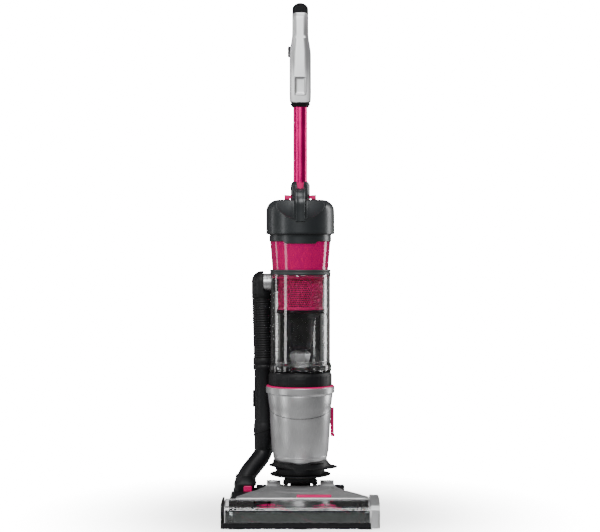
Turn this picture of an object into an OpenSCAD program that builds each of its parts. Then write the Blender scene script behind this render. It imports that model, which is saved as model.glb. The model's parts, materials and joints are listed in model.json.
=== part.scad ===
// Upright bagless vacuum cleaner: a floor head, a tilting and steering yoke, a motor body
// with a hose on its left, a lift-out dust bin and a pull-out handle.
// Front faces -Y, +X is the user's right as seen from the front, +Z is up, floor at z = 0.

/* [Floor head] */
// Overall width of the floor head
head_w = 308; // [300:1:316]
// Distance from the body's centre line forward to the head's front face
head_reach = 208; // [204:1:214]
// Radius of the rear wheels
wheel_r = 26; // [25:0.5:27]
// Radius over the tips of the brush bar's bristles
bristle_r = 21.5; // [19:0.5:22]
// Radius of the brush bar's core
brush_core_r = 14; // [10:0.5:15]

/* [Body] */
// Radius of the motor housing at its rim
rim_r = 71.3; // [70:0.1:72]
// Outer radius of the clear dust bin
bin_r = 61.9; // [60:0.1:63]
// Outer radius of the cap on top of the cyclone
cap_r = 70.5; // [69:0.1:71.5]
// Height of the top of the cap above the floor
cap_top = 644; // [642:0.5:646]
// Thickness of the moulded walls
wall = 2.5; // [2:0.1:3]

/* [Handle] */
// Overall height of the machine
total_h = 1066; // [1050:1:1090]
// Outer radius of the metal handle tube
tube_r = 15; // [14:0.1:15.2]
// Distance from the body's centre line back to the handle tube's
tube_y = 66; // [64:0.5:68]
// Reach of the handle's grip behind the tube's centre line
grip_reach = 66; // [60:1:72]

/* [Hose] */
// Radius over the ribs of the suction hose
hose_r = 21.5; // [21:0.1:21.8]
// Distance from the body's centre line out to the lower pipe's centre line
pipe_x = 77; // [77:0.1:78]
// Distance of the hose and the lower pipe behind the body's centre line
hose_y = 49; // [49:0.5:52]

/* [Hidden] */
$fn = 96;
eps = 0.01;
gap = 0.3;
run_fit = 0.06;
sprung_gap = 0.4;

// Colours
silver = "#a9abad";
gunmetal = "#55585a";
black = "#1c1d1f";
pink = "#e0106a";
clear = [0.85, 0.9, 0.92, 0.35];
clear_pink = [0.8, 0.05, 0.38, 0.7];
steel = "#c3c6c9";
rubber = "#26272a";

// The body's centre line lies behind the middle of the whole machine
body_y = (head_reach - tube_y - grip_reach) / 2;

// Floor head
half_w = head_w / 2;
axle_y = 20;
axle_z = wheel_r;
axle_r = 5;
ear_in = 41;
ear_out = 69;
sole_z = 3;
sole_t = 3;
brush_y = 30 - head_reach;
brush_z = bristle_r + 2;
brush_left = -128;
brush_right = 108;
journal_r = 4;
pulley_r = 10.5;
motor_pulley_r = 6;
belt_x = 115;
belt_w = 8;
drive_y = -118;
drive_z = 26;
drive_shaft_r = 3;
face_top = 34;
face_bottom = 14;
hood_round = 12;
hood_back_y = -163;
hood_back_z = 53;
roller_r = 8;
roller_w = 14;
roller_y = -136;
roller_x = 76;
roller_pin_r = 2.5;
roller_z = roller_r + 0.5;

// Yoke
drum_r = 20;
drum_in = 96;
drum_out = 139;
duct_in = 95.5;
duct_out = 141;
plate_top = 79;
plate_r = 62.6;
spigot_r = 24;
block_w = 66;
neck_w = 42;

// Heights up the body
skirt_bottom = 79.5;
cup_bottom = 103.3;
rim_bottom = 246.5;
rim_top = 256;
pink_ring_top = 262;
bin_seat = 290;
bin_bottom = 290.4;
lip_top = 309;
bin_top = 490;
seal_top = 500;
cyclone_top = 558;
cap_step = 573;
cap_flat_y = 48;

// Spine and handle
spine_front = 72.5;
spine_back = 92;
spine_half = 27;
panel_half = 45;
panel_bottom = 268;
panel_top = 566;
spine_bottom = 124;
spine_top = cap_top + 1;
socket_top = 684;
socket_r = 20.5;
tube_bottom = 576;
hook_in = 65.2;
hook_y = 34;
hook_z = 182;
hook_pin_r = 5;
tube_top = 846;
collar_bottom = 841;
collar_top = 849;
clip_r = 11.5;
clip_z = 958;

// Hose
hose_bottom = 315;
hose_top = 440;
hose_lean = 1.6;
rib_pitch = 5;
pipe_r = 19.6;
pipe_wall = 3;
duct_top = 123;
duct_bottom = 60;
duct_x = 114;
duct_r = 19;
elbow_x = pipe_x + 3.2;
elbow_r = 22;
elbow_z = 475;
connector_z = 473;
connector_y = 43;
connector_r = 18.6;
connector_out = 77;
inlet_r = 13.6;
guide_r = 59.2;

// ---------- shared shapes ----------

module placed() translate([0, body_y, 0]) children();

module ring(r_out, r_in, z0, z1) translate([0, 0, z0]) difference() {
    cylinder(r = r_out, h = z1 - z0);
    translate([0, 0, -1]) cylinder(r = r_in, h = z1 - z0 + 2);
}

// A rod along X between x0 and x1 at (y, z)
module rod_x(r, x0, x1, y, z) translate([x0, y, z]) rotate([0, 90, 0]) cylinder(r = r, h = x1 - x0);

// A side outline, drawn as (y, z), given a width from x0 to x1
module side(x0, x1) translate([x0, 0, 0]) rotate([90, 0, 90]) linear_extrude(x1 - x0) children();

module box(x0, x1, y0, y1, z0, z1) translate([x0, y0, z0]) cube([x1 - x0, y1 - y0, z1 - z0]);

// A closed solid swept along the points of a path, with circles of the given radii
function unit(v) = v / norm(v);
function tangent(p, i) = unit(p[min(i + 1, len(p) - 1)] - p[max(i - 1, 0)]);
function frame_x(t) = unit(cross([0, 1, 0], t));
module swept(path, radii, sides) {
    rings = len(path);
    pts = [for (i = [0:rings - 1]) let (t = tangent(path, i), u = frame_x(t), v = cross(t, u))
        for (k = [0:sides - 1]) path[i] + radii[i] * (cos(360 * k / sides) * u + sin(360 * k / sides) * v)];
    walls = [for (i = [0:rings - 2]) for (k = [0:sides - 1]) let (n = (k + 1) % sides)
        [i * sides + k, (i + 1) * sides + k, (i + 1) * sides + n, i * sides + n]];
    first = [for (k = [0:sides - 1]) k];
    last = [for (k = [0:sides - 1]) rings * sides - 1 - k];
    polyhedron(points = pts, faces = concat(walls, [first], [last]), convexity = 4);
}

// ---------- floor head ----------

// Outline of the sole, seen from above; the notch at the back lets the yoke swing
module sole_outline() polygon([
    [5 - half_w, 5 - head_reach], [half_w - 7, 5 - head_reach], [half_w - 7, -118], [118, -98],
    [ear_out, -34], [ear_out, 38], [ear_in, 38], [ear_in, -16], [-ear_in, -16], [-ear_in, 38],
    [-ear_out, 38], [-ear_out, -34], [-94, -34], [-94, -8], [-142, -8], [5 - half_w, -100]
]);

module roller_pocket(s) box(s * roller_x - 9, s * roller_x + 9, roller_y - 10, roller_y + 10, 0, 20);

module roller_cheeks(s) for (e = [-1, 1]) translate([s * roller_x + e * 10.5, 0, 0])
    box(-1.5, 1.5, roller_y - 6, roller_y + 6, sole_z, 14);

module sole_plate() color(black) placed() difference() {
    union() {
        translate([0, 0, sole_z]) linear_extrude(sole_t) sole_outline();
        // Walls of the brush chamber
        box(brush_left - 8, 134, -152, -149, sole_z, 46);
        box(6.5 - half_w, 16 - half_w, -198, -152, sole_z, 30);
        box(125, 135, -198, -152, sole_z, 30);
        box(6.5 - half_w, 135, 5.2 - head_reach, 8 - head_reach, sole_z, 13.8);
        // Ears that hold the axle
        for (s = [-1, 1]) {
            box(s * 55 - 13.5, s * 55 + 13.5, axle_y - 16, axle_y + 16, sole_z, axle_z);
            rod_x(16, s * 55 - 13.5, s * 55 + 13.5, axle_y, axle_z);
            roller_cheeks(s);
        }
        // Left end plate
        side(-half_w, 3.5 - half_w) intersection() {
            end_cap_outline();
            translate([-head_reach, 2]) square([200, 48]);
        }
        box(-half_w + 1, 7 - half_w, -190, -130, sole_z, sole_z + sole_t);
        // Glide pads that rest on the floor
        for (x = [-125, 0, 125]) box(x - 14, x + 14, 8 - head_reach, 16 - head_reach, 0, sole_z + 1);
    }
    box(brush_left - 2, 124, 17 - head_reach, -155, 0, 10);
    // Mouth of the suction duct and the belt's slot, through the chamber's rear wall
    box(wall - duct_out, -duct_in - wall, -153, -148, 8.7, 41.5);
    box(112.5, 124.9, -153, -148, 8, 40);
    for (s = [-1, 1]) {
        roller_pocket(s);
        rod_x(roller_pin_r + run_fit, s * roller_x - 12.5, s * roller_x + 12.5, roller_y, roller_z);
    }
    rod_x(axle_r, -90, 90, axle_y, axle_z);
    rod_x(9.2, -half_w, half_w, brush_y, brush_z);
}

// Outline of the hood in side view, set in from the outside by t
function hood_line(t) = concat(
    [[t - head_reach, face_bottom]],
    [for (a = [180:-10:110]) [hood_round - head_reach + (hood_round - t) * cos(a),
                              face_top + (hood_round - t) * sin(a)]],
    [[hood_back_y, hood_back_z - t]]);
function reversed(list) = [for (i = [len(list) - 1:-1:0]) list[i]];

module clear_hood() color(clear) placed() side(7 - half_w, half_w - 18)
    polygon(concat(hood_line(0), reversed(hood_line(wall))));

module front_bumper() color(rubber) placed()
    box(3.7 - half_w, half_w - 17.7, -head_reach, 5 - head_reach, 2, face_bottom - 0.2);

module end_cap_outline() polygon(concat(
    [[-head_reach, 2]],
    [for (a = [180:-10:110]) [14 - head_reach + 14 * cos(a), 35 + 14 * sin(a)]],
    [[-168, 55.5], [-128, 56], [-112, 44], [-104, 20], [-104, 2]]));

module right_end_cap() color(silver) placed() difference() {
    side(half_w - 17.5, half_w) end_cap_outline();
    box(half_w - 18, half_w - 3, 3 - head_reach, -108, 0, 36);
}

// The rear of the cover is as wide as its ears, and it spreads to the front
module cover_mass(t) hull() {
    box(t - 69, 69 - t, -40 + t, -12, 12, 57 - t);
    box(t - 88, 88 - t, -80, -60, 12, 57.5 - t);
    box(t - 127, 134.5 - t, -162.5 + t, -126, 12, 54.5 - t);
    box(t - 127, 134.5 - t, -162.5 + t, -112, 12, 30 - t);
}

module head_cover() color(silver) placed() difference() {
    union() {
        difference() {
            cover_mass(0);
            translate([0, 0, -eps]) cover_mass(wall);
            box(-200, 200, -200, 0, 0, 20);
        }
        // Ears over the axle, each with a sloping front
        for (s = [-1, 1]) side(s * 55 - 14, s * 55 + 14)
            polygon([[-48, 50], [-30, 64], [-4, 66], [36, 48], [38, axle_z + 18.6], [-12, axle_z + 18.6],
                     [-14, 44]]);
    }
    // Hollow for the neck, and the brush chamber's rear wall
    translate([0, 6, 30]) cylinder(r = 46, h = 60);
    box(-ear_in, ear_in, 0, 60, 0, 90);
    box(-140, 140, -164, -148.7, 0, 46.3);
    rod_x(16.3, -80, 80, axle_y, axle_z);
    trim_outline(0.1, 3);
    // Room for the suction duct under the left wing
    box(-duct_out - gap, gap - duct_in, -150, 20, 0, 44 + gap);
}

module trim_outline(margin, h) translate([27, -146, 54.6 - margin]) linear_extrude(h)
    polygon([[-34 - margin, -4.5 - margin], [32 + margin, -4.5 - margin], [34 + margin, 4.5 + margin],
             [-32 - margin, 4.5 + margin]]);
module trim_strip() color(pink) placed() trim_outline(0, 0.8);

module brush_bearings() color(steel) placed() for (x = [-140, 126]) difference() {
    rod_x(9, x, x + 8, brush_y, brush_z);
    rod_x(journal_r + run_fit, x - 1, x + 9, brush_y, brush_z);
}

module brush_motor() color("#77797c") placed() difference() {
    union() {
        rod_x(16, 24, 92, drive_y, drive_z);
        rod_x(10, 92, 98, drive_y, drive_z);
    }
    rod_x(13.5, 30, 86, drive_y, drive_z);
    rod_x(drive_shaft_r + run_fit, 26, 99, drive_y, drive_z);
}

// Outline of a belt round two pulleys d apart, with the belt's face at radii a and b
function belt_line(a, b, d) = let (w = acos((a - b) / d)) concat(
    [for (k = [w:(360 - 2 * w) / 16:360 - w]) [a * cos(k), a * sin(k)]],
    [for (k = [-w:2 * w / 12:w]) [d + b * cos(k), b * sin(k)]]);

module drive_belt() color(rubber) placed() translate([0, brush_y, brush_z])
    rotate([atan2(drive_z - brush_z, drive_y - brush_y), 0, 0]) side(belt_x + 1, belt_x + belt_w - 1)
    difference() {
        polygon(belt_line(pulley_r + 2.2, motor_pulley_r + 2.2, drive_y - brush_y));
        polygon(belt_line(pulley_r + gap, motor_pulley_r + gap, drive_y - brush_y));
    }

// The duct behind the chamber steps down and ends in a cradle round the drum
module suction_duct() color(black) placed() difference() {
    union() {
        difference() {
            box(-duct_out, -duct_in, -148.5, 12, 6.2, 44);
            box(wall - duct_out, -duct_in - wall, -149, 20, 8.7, 41.5);
            box(-150, -90, -17.4, 20, 33.6, 60);
        }
        box(1 - duct_out, -duct_in - 1, -19.9, 6, 31.1, 33.6);
        box(1 - duct_out, -duct_in - 1, -19.9, -17.4, 31.1, 43);
    }
    rod_x(drum_r + gap, -150, -90, axle_y, axle_z);
    box(-150, -90, axle_y - 6, 20, 0, 60);
}

module axle_pins() color(steel) placed() for (s = [-1, 1])
    rod_x(axle_r, min(s * 22, s * 94), max(s * 22, s * 94), axle_y, axle_z);

// ---------- brush ----------

module brush_core() color("#3a3c40") placed() union() {
    rod_x(brush_core_r, brush_left, brush_right, brush_y, brush_z);
    rod_x(journal_r, brush_left - 11, brush_left + 1, brush_y, brush_z);
    rod_x(journal_r, brush_right - 1, 133, brush_y, brush_z);
}

// Rows of tufts that meet in a V at the middle of the bar
tufts_per_side = 16;
tuft_pitch = 7;
tuft_turn = 7.5;
module tuft_row(start) for (s = [-1, 1]) for (i = [0:tufts_per_side - 1])
    translate([-10 + s * (3.5 + i * tuft_pitch), brush_y, brush_z]) rotate([start + i * tuft_turn, 0, 0])
        translate([0, 0, brush_core_r - 1]) cylinder(r = 2.2, h = bristle_r - brush_core_r + 1, $fn = 16);

module brush_bristles() color(pink) placed() difference() {
    for (start = [0, 120, 240]) tuft_row(start);
    rod_x(brush_core_r, brush_left, brush_right, brush_y, brush_z);
}

module brush_pulley() color("#c77a5a") placed() difference() {
    union() {
        rod_x(pulley_r, belt_x, belt_x + belt_w, brush_y, brush_z);
        for (x = [belt_x - 1.2, belt_x + belt_w]) rod_x(pulley_r + 3.4, x, x + 1.2, brush_y, brush_z);
    }
    rod_x(journal_r, belt_x - 5, belt_x + belt_w + 5, brush_y, brush_z);
}

// Pulley, shaft and the motor's rotor, in one piece
module motor_pulley() color(steel) placed() union() {
    rod_x(motor_pulley_r, belt_x, belt_x + belt_w, drive_y, drive_z);
    rod_x(drive_shaft_r, 27, belt_x + belt_w + 3, drive_y, drive_z);
    rod_x(12.5, 36, 80, drive_y, drive_z);
}

// ---------- wheels ----------

module wheel(x0) placed() translate([x0, axle_y, axle_z]) rotate([0, 90, 0]) rotate_extrude()
    polygon([[axle_r + run_fit, 1], [9, 0], [9, 3], [18, 3], [20, 0], [wheel_r - 2.5, 0], [wheel_r, 2.5],
             [wheel_r, 18.5], [wheel_r - 2.5, 21], [20, 21], [18, 18], [9, 18], [9, 21],
             [axle_r + run_fit, 20]]);
module left_wheel() color(black) wheel(-91.5);
module right_wheel() color(black) wheel(70.5);

module roller(s) placed() union() {
    rod_x(roller_r, s * roller_x - roller_w / 2, s * roller_x + roller_w / 2, roller_y, roller_z);
    rod_x(roller_pin_r, s * roller_x - 12, s * roller_x + 12, roller_y, roller_z);
}
module left_roller() color(rubber) roller(-1);
module right_roller() color(rubber) roller(1);

// ---------- yoke ----------

module claw(s) translate([0, 24, 0]) rotate([90, 0, 0]) linear_extrude(48)
    polygon([[s * 29, 63], [s * 35.5, 63], [s * 35.5, 60], [s * 27, 55.5], [s * 25, 58]]);

module yoke() color(black) placed() difference() {
    union() {
        rotate_extrude() polygon([[0, 71.5], [33, 71.5], [plate_r, 77.4], [plate_r, plate_top],
                                  [0, plate_top]]);
        cylinder(r = spigot_r, h = 96);
        box(-block_w / 2, block_w / 2, -26, 28, 61, 72);
        for (s = [-1, 1]) claw(s);
        side(-neck_w / 2, neck_w / 2) polygon([[-19, 72], [26, 72], [34, 40], [34, 22], [8, 16], [-8, 44]]);
        rod_x(15, -ear_in + 3, ear_in - 3, axle_y, axle_z);
    }
    translate([0, 0, -1]) cylinder(r = 60, h = 11);
    rod_x(axle_r + run_fit, -60, 60, axle_y, axle_z);
    translate([0, 0, 62]) cylinder(r = 18, h = 40);
}

module duct_drum() color(black) placed() difference() {
    union() {
        rod_x(drum_r, -drum_out, -drum_in, axle_y, axle_z);
        translate([-duct_x, axle_y, axle_z]) cylinder(r = duct_r + 1, h = duct_bottom - axle_z - gap);
        translate([-duct_x, axle_y, axle_z + 8]) cylinder(r1 = drum_r + 2, r2 = duct_r + 1, h = 9);
        box(-duct_x - 6, -96.5, -3, 14, 34, 55);
    }
    rod_x(drum_r - 3, 3 - drum_out, -drum_in - 3, axle_y, axle_z);
    translate([-duct_x, axle_y, axle_z]) cylinder(r = duct_r - 2, h = 60);
    // Mouth towards the head's duct, and the button's pocket
    box(3 - drum_out, -drum_in - 3, axle_y - 30, axle_y - 8, axle_z - 6, axle_z + 8);
    box(-117.4, -99.6, -4, 2, 36.6, 53.4);
}

module duct_button() color(pink) placed() box(-117, -100, -5.5, -1.2, 37, 53);

// The lower hose leans out in a smooth S from the cuff to the drum
function ease(t) = t * t * (3 - 2 * t);
duct_rise = duct_top - gap - duct_bottom;
duct_path = concat([[-duct_x, axle_y, duct_bottom]],
    [for (i = [0:18]) let (t = i / 18)
        [-duct_x + (duct_x - pipe_x) * ease(t), axle_y + (hose_y - axle_y) * ease(t),
         duct_bottom + 3 + (duct_rise - 6) * t]],
    [[-pipe_x, hose_y, duct_bottom + duct_rise]]);
module lower_hose() color(black) placed() swept(duct_path, [for (p = duct_path) duct_r], 24);

// ---------- body ----------

module base_skirt() color(black) placed() intersection() {
    rotate_extrude() polygon([
        [spigot_r + run_fit, skirt_bottom], [50, skirt_bottom], [51.5, 91.5], [77, 91.5], [77, 93],
        [66, 96.5], [58.5, 102], [56, 108], [54.5, 108], [50.5, cup_bottom - 0.1], [spigot_r + run_fit, cup_bottom - 0.1]]);
    box(-100, 100, -51, 46, 0, 200);
}

cup_outer = [[50, cup_bottom], [54, 108], [58.7, 127], [62.2, 190], [67.3, rim_bottom - 2],
             [rim_r, rim_bottom], [rim_r, rim_top]];
cup_inner = [for (p = reversed(cup_outer)) [p[0] - wall * 1.1, max(p[1], cup_bottom + wall)]];

module motor_cup() color(silver) placed() difference() {
    union() {
        rotate_extrude() polygon(concat(cup_outer, [[62, rim_top], [62, rim_bottom]],
            [for (i = [2:len(cup_inner) - 1]) cup_inner[i]], [[26, cup_bottom + wall], [26, cup_bottom]]));
        // Boss for the cord hook's pivot
        rod_x(8, 50, hook_in - 4, hook_y, hook_z);
    }
    rod_x(hook_pin_r + run_fit, 40, 80, hook_y, hook_z);
    // Groove round the housing
    rotate_extrude() polygon([[62.8, 208], [67, 205.8], [67, 210.2]]);
    // Exhaust slots on both sides of the spine
    for (s = [-1, 1]) for (k = [0:6]) rotate([0, 0, 90 + s * 33]) box(40, 80, -12, 12, 137 + k * 9, 141 + k * 9);
}

module cup_ring() color(pink) placed() ring(rim_r - 1.3, 58, rim_top + 0.1, pink_ring_top);

module latch_ring() color(black) placed() difference() {
    rotate_extrude() polygon([[61.5, pink_ring_top + 0.1], [65.5, pink_ring_top + 0.1], [65.5, 283],
                              [61.9, bin_seat], [42, bin_seat], [42, bin_seat - 3], [60, bin_seat - 3],
                              [61.5, 281]]);
    for (k = [0:23]) rotate([0, 0, 15 * k]) box(64.9, 70, -0.8, 0.8, 266, 280);
    // Window for the release button
    box(-15.4, 15.4, -70, -50, 264.6, 281.4);
}

module bin_button() color(black) placed() intersection() {
    ring(64.8, 59.5, 265, 281);
    box(-15, 15, -80, 0, 260, 290);
}

module motor_can() color("#8d8f92") placed() difference() {
    union() {
        ring(42, 4 + run_fit, 130, 200);
        ring(30, 4 + run_fit, 122, 130);
    }
    for (k = [0:11]) rotate([0, 0, 30 * k]) box(38, 50, -3, 3, 150, 180);
}

module motor_mounts() color(rubber) placed() {
    ring(55.5, 42.1, 134, 140);
    ring(58, 42.1, 191, 197);
}

module exhaust_filter() color("#e8e6df") placed() ring(46.5, 31, 105.9, 121);

module impeller() color(steel) placed() union() {
    translate([0, 0, 124]) cylinder(r = 4, h = 92);
    translate([0, 0, 203]) cylinder(r = 46, h = 2);
    for (k = [0:8]) rotate([0, 0, 40 * k]) translate([12, 0, 204.9]) rotate([0, 0, 28]) box(0, 32, -1, 1, 0, 12);
}

// An arm from the spine that ends in a clip round the lower pipe
module pipe_arm(z, h) difference() {
    union() {
        translate([0, 0, z]) linear_extrude(h)
            polygon([[-20, 74], [-20, 90], [-58, 88], [-88, 72], [-72, 60], [-56, 74]]);
        translate([-pipe_x, hose_y, z]) cylinder(r = pipe_r + 3.4, h = h);
    }
    translate([-pipe_x, hose_y, z - 1]) cylinder(r = pipe_r + 0.2, h = h + 2);
    // Mouth of the clip, towards the front left
    translate([-pipe_x, hose_y, z - 1]) rotate([0, 0, 250]) translate([0, -20, 0]) cube([40, 40, h + 2]);
    // Room for the motor housing's rim
    cylinder(r = rim_r + 0.4, h = 400);
}

screw_z = [135, 262, 376, 490, 628];
switch_z = 600;
inlet_z = 190;
// A length of the spine with rounded back edges
module spine_bar(half, z0, z1) {
    box(-half, half, spine_front, spine_back - 8, z0, z1);
    box(8 - half, half - 8, spine_front, spine_back, z0, z1);
    for (s = [-1, 1]) translate([s * (half - 8), spine_back - 8, z0]) cylinder(r = 8, h = z1 - z0);
}

module spine() color(black) placed() difference() {
    union() {
        spine_bar(spine_half, spine_bottom, spine_top);
        spine_bar(panel_half, panel_bottom, panel_top);
        box(-spine_half, spine_half, cap_flat_y + 0.5, spine_front + 1, cap_step + 0.5, spine_top);
        box(-18, 18, 52, spine_front + 1, spine_bottom, 232);
        pipe_arm(211, 35);
    }
    // Seat for the motor housing
    rotate_extrude() polygon(concat([[0, 90]], [for (p = cup_outer) [p[0] + 0.1, p[1]]], [[0, rim_top]]));
    // Air duct up the inside
    box(3 - spine_half, spine_half - 3, spine_front + 3, spine_back - 4, 240, 570);
    for (s = [-1, 1]) box(s * 35 - 6, s * 35 + 6, spine_front + 3, spine_back - 4, panel_bottom + 4, panel_top - 4);
    translate([0, tube_y, tube_bottom - 1]) cylinder(r = tube_r + sprung_gap, h = 80);
    for (z = screw_z) for (s = [-1, 1]) translate([s * 14, spine_back + 1, z]) rotate([90, 0, 0])
        cylinder(r = 3.4, h = 4);
    translate([0, spine_back + 1, switch_z]) rotate([90, 0, 0]) cylinder(r = 9.4, h = 9);
    translate([0, spine_back + 1, inlet_z]) rotate([90, 0, 0]) cylinder(r = 8, h = 9);
}

module spine_screws() color(steel) placed() for (z = screw_z) for (s = [-1, 1])
    translate([s * 14, spine_back - 0.6, z]) rotate([90, 0, 0]) difference() {
        cylinder(r = 3.3, h = 2.4);
        translate([-2.4, -0.4, -1]) cube([4.8, 0.8, 2]);
        translate([-0.4, -2.4, -1]) cube([0.8, 4.8, 2]);
    }

module power_switch() color(pink) placed() translate([0, spine_back + 3, switch_z]) rotate([90, 0, 0])
    rotate_extrude() polygon([[0, 0], [7.5, 0], [9, 1.5], [9, 7], [0, 7]]);

// Where the mains cord leaves: a collar with a bell mouth
module cord_inlet() color(black) placed() translate([0, spine_back + 8, inlet_z]) rotate([90, 0, 0])
    rotate_extrude() polygon([[3.8, 0], [6, 0], [7, 4], [7.9, 8.2], [7.9, 15], [3.8, 15]]);

module tube_socket() color(gunmetal) placed() difference() {
    union() {
        translate([0, tube_y, spine_top + 0.1]) rotate_extrude()
            polygon([[tube_r + sprung_gap, 0], [socket_r, 0], [socket_r, socket_top - spine_top - 7],
                     [socket_r - 3.5, socket_top - spine_top], [tube_r + sprung_gap, socket_top - spine_top]]);
        box(-socket_r, socket_r, tube_y + 16, spine_back - 3, spine_top + 0.1, 668);
    }
    translate([0, tube_y, 0]) cylinder(r = tube_r + sprung_gap, h = 700);
    // V-shaped front opening for the catch
    translate([0, tube_y - 14, 0]) rotate([90, 0, 0]) linear_extrude(20)
        polygon([[-9, 690], [9, 690], [6.4, 672], [3, 668], [-3, 668], [-6.4, 672]]);
    box(-40, 40, tube_y - 8.4, tube_y + 8.4, 647.6, 656.4);
}

module tube_catch() color("#7d0f3f") placed() intersection() {
    translate([0, tube_y - 17.2, 0]) rotate([90, 0, 0]) linear_extrude(3.6)
        polygon([[-7.6, 682], [7.6, 682], [5.9, 672.4], [2.8, 668.4], [-2.8, 668.4], [-5.9, 672.4]]);
    translate([0, tube_y, 0]) ring(socket_r + 0.5, tube_r + 2.5, 600, 700);
}

module tab(s) placed() box(min(s * 19, s * 33.5), max(s * 19, s * 33.5), tube_y - 8, tube_y + 8, 648, 656);
module left_tab() color(pink) tab(-1);
module right_tab() color(pink) tab(1);

// A hook on the right of the motor housing that swings out of the way
module cord_hook() color(pink) placed() union() {
    side(hook_in, hook_in + 3) polygon([[hook_y - 12, 152], [hook_y + 4, 152], [hook_y + 10, 170],
        [hook_y + 10, 196], [hook_y + 2, 212], [hook_y - 12, 212], [hook_y - 7, hook_z]]);
    rod_x(hook_pin_r, 53, hook_in + 1, hook_y, hook_z);
    side(hook_in + 2.5, hook_in + 6.5) polygon([[hook_y - 12, 152], [hook_y + 4, 152], [hook_y + 4, 156],
                                               [hook_y - 12, 156]]);
}

// The elbow's mouth is a flat face that the bin's connector slides across
module hose_elbow() color(black) placed() difference() {
    union() {
        translate([-elbow_x, hose_y, hose_top + 0.1]) cylinder(r = elbow_r, h = elbow_z - hose_top);
        translate([-elbow_x, hose_y, elbow_z]) sphere(r = elbow_r);
    }
    translate([-elbow_x, hose_y, hose_top - 1]) cylinder(r = elbow_r - 3, h = elbow_z - hose_top + 1);
    translate([-elbow_x, hose_y, elbow_z]) sphere(r = elbow_r - 3);
    box(-connector_out - gap, -50, 0, 80, 453, 500);
}

// Ribbed hose: one rib of a rounded zigzag for each pitch; it leans out towards the elbow
hose_h = hose_top - hose_bottom;
ribs = floor(hose_h / rib_pitch);
rib_h = hose_h / ribs;
module suction_hose() color(black) placed() intersection() {
    translate([-pipe_x + 0.4, hose_y, hose_bottom]) rotate([0, -hose_lean, 0]) translate([0, 0, -2])
        rotate_extrude() polygon(concat([[hose_r - 4, 0]],
            [for (i = [0:ribs]) for (p = [[-1.2, 0.02], [0, 0.3], [0, 0.7], [-1.2, 0.95]])
                [hose_r + p[0], (i + p[1]) * rib_h]],
            [[hose_r - 4, hose_h + rib_h]]));
    box(-150, 0, 0, 100, hose_bottom + 0.1, hose_top);
}

// Rigid pipe below the hose: collar, plain length and a bulged cuff over the lower hose
module hose_cuff() color(black) placed() translate([-pipe_x, hose_y, 0]) rotate_extrude() polygon([
    [pipe_r - pipe_wall, duct_top], [pipe_r, duct_top], [pipe_r, 148], [pipe_r + 1.6, 152],
    [pipe_r + 1.6, 175], [pipe_r, 180], [pipe_r, 288], [hose_r + 0.6, 293], [hose_r + 0.6, hose_bottom - 3],
    [hose_r - 0.6, hose_bottom], [pipe_r - pipe_wall, hose_bottom]]);

// ---------- dust bin ----------

module bin_shell() color(clear) placed() difference() {
    ring(bin_r, bin_r - 2.2, lip_top + 0.1, bin_top);
    rod_x(inlet_r, -90, -20, connector_y, connector_z);
}

module bin_base() color(clear) placed() union() {
    rotate_extrude() polygon([[0, bin_bottom], [bin_r + 2.5, bin_bottom], [bin_r + 2.5, 305],
                              [bin_r, lip_top], [bin_r - 3, lip_top], [bin_r - 3, bin_bottom + 4],
                              [0, bin_bottom + 4]]);
    rotate_extrude() polygon([[13, bin_bottom + 3], [15.5, bin_bottom + 3], [15.5, 321], [21.6, 332],
                              [19.4, 332], [13, 321.5]]);
    for (a = [-12, 12, 36]) rotate([0, 0, a]) box(24, 44, -1, 1, bin_bottom + 3, 340);
}

module seal_ring() color("#4c5354") placed() ring(bin_r + 1, 26, bin_top + 0.1, seal_top);

module shroud() color(pink) placed() rotate_extrude() polygon([
    [43, 417.2], [46.6, 417.2], [46.6, 421.5], [45.4, 422.5], [48, 482], [58.6, 483], [58.6, bin_top],
    [46.4, bin_top], [43.4, 424]]);

// Inner cone with its flared skirt, and the outlet tube above it
module cyclone_cone() color("#2f3133") placed() union() {
    rotate_extrude() polygon([[20, 336], [22, 336], [31, 400], [46, 411], [53.6, 411], [46, 417], [22, 417],
                              [22, 414], [29, 414], [28.5, 400]]);
    ring(24, 22, 416, bin_top);
}

module cyclone_shell() color(clear_pink) placed() rotate_extrude()
    polygon([[42, seal_top + 0.1], [57.7, seal_top + 0.1], [62.5, cyclone_top], [60, cyclone_top],
             [55.4, seal_top + 2.8], [42, seal_top + 2.8]]);

// Stub that meets the elbow, a spigot through the bin's wall and the black guide inside it
module inlet_connector() color("#6f7274") placed() difference() {
    union() {
        difference() {
            union() {
                rod_x(connector_r, -connector_out, -66, connector_y, connector_z);
                rod_x(connector_r - 2.5, -68, -30, connector_y, connector_z);
            }
            cylinder(r = bin_r + 0.1, h = 600);
            translate([0, 0, bin_top]) cylinder(r = bin_r + 1.1, h = 20);
        }
        difference() {
            rod_x(inlet_r - 0.2, -68, -20, connector_y, connector_z);
            cylinder(r = guide_r - 0.5, h = 600);
        }
        intersection() {
            ring(guide_r, 49, 455, 481.9);
            box(-60, -28, -14, 46, 455, 481.9);
        }
    }
    rod_x(inlet_r - 2.1, -90, -10, connector_y, connector_z);
}

module foam_filter() color("#2b6f9a") placed() ring(54, 8, 560, 572);

module cap_body(inset, floor_z) rotate_extrude() polygon([
    [0, floor_z], [64 - inset, floor_z], [64 - inset, cap_step + inset], [cap_r - inset, cap_step + inset],
    [cap_r - inset, cap_top - 16 - inset / 2], [cap_r - 4 - inset, cap_top - 6 - inset],
    [cap_r - 12 - inset, cap_top - inset * 1.2], [0, cap_top - inset * 1.2]]);

// Finger hollows on both sides of the carry handle, joined by a tunnel below it
scoop_x = 39;
scoop_y = -48;
scoop_z = cap_top - 5;
scoop_r = 30;
module scoops(grow) {
    for (s = [-1, 1]) translate([s * scoop_x, scoop_y, scoop_z]) sphere(r = scoop_r + grow);
    rod_x(13 + grow, -24, 24, -40, cap_top - 2);
}

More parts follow.
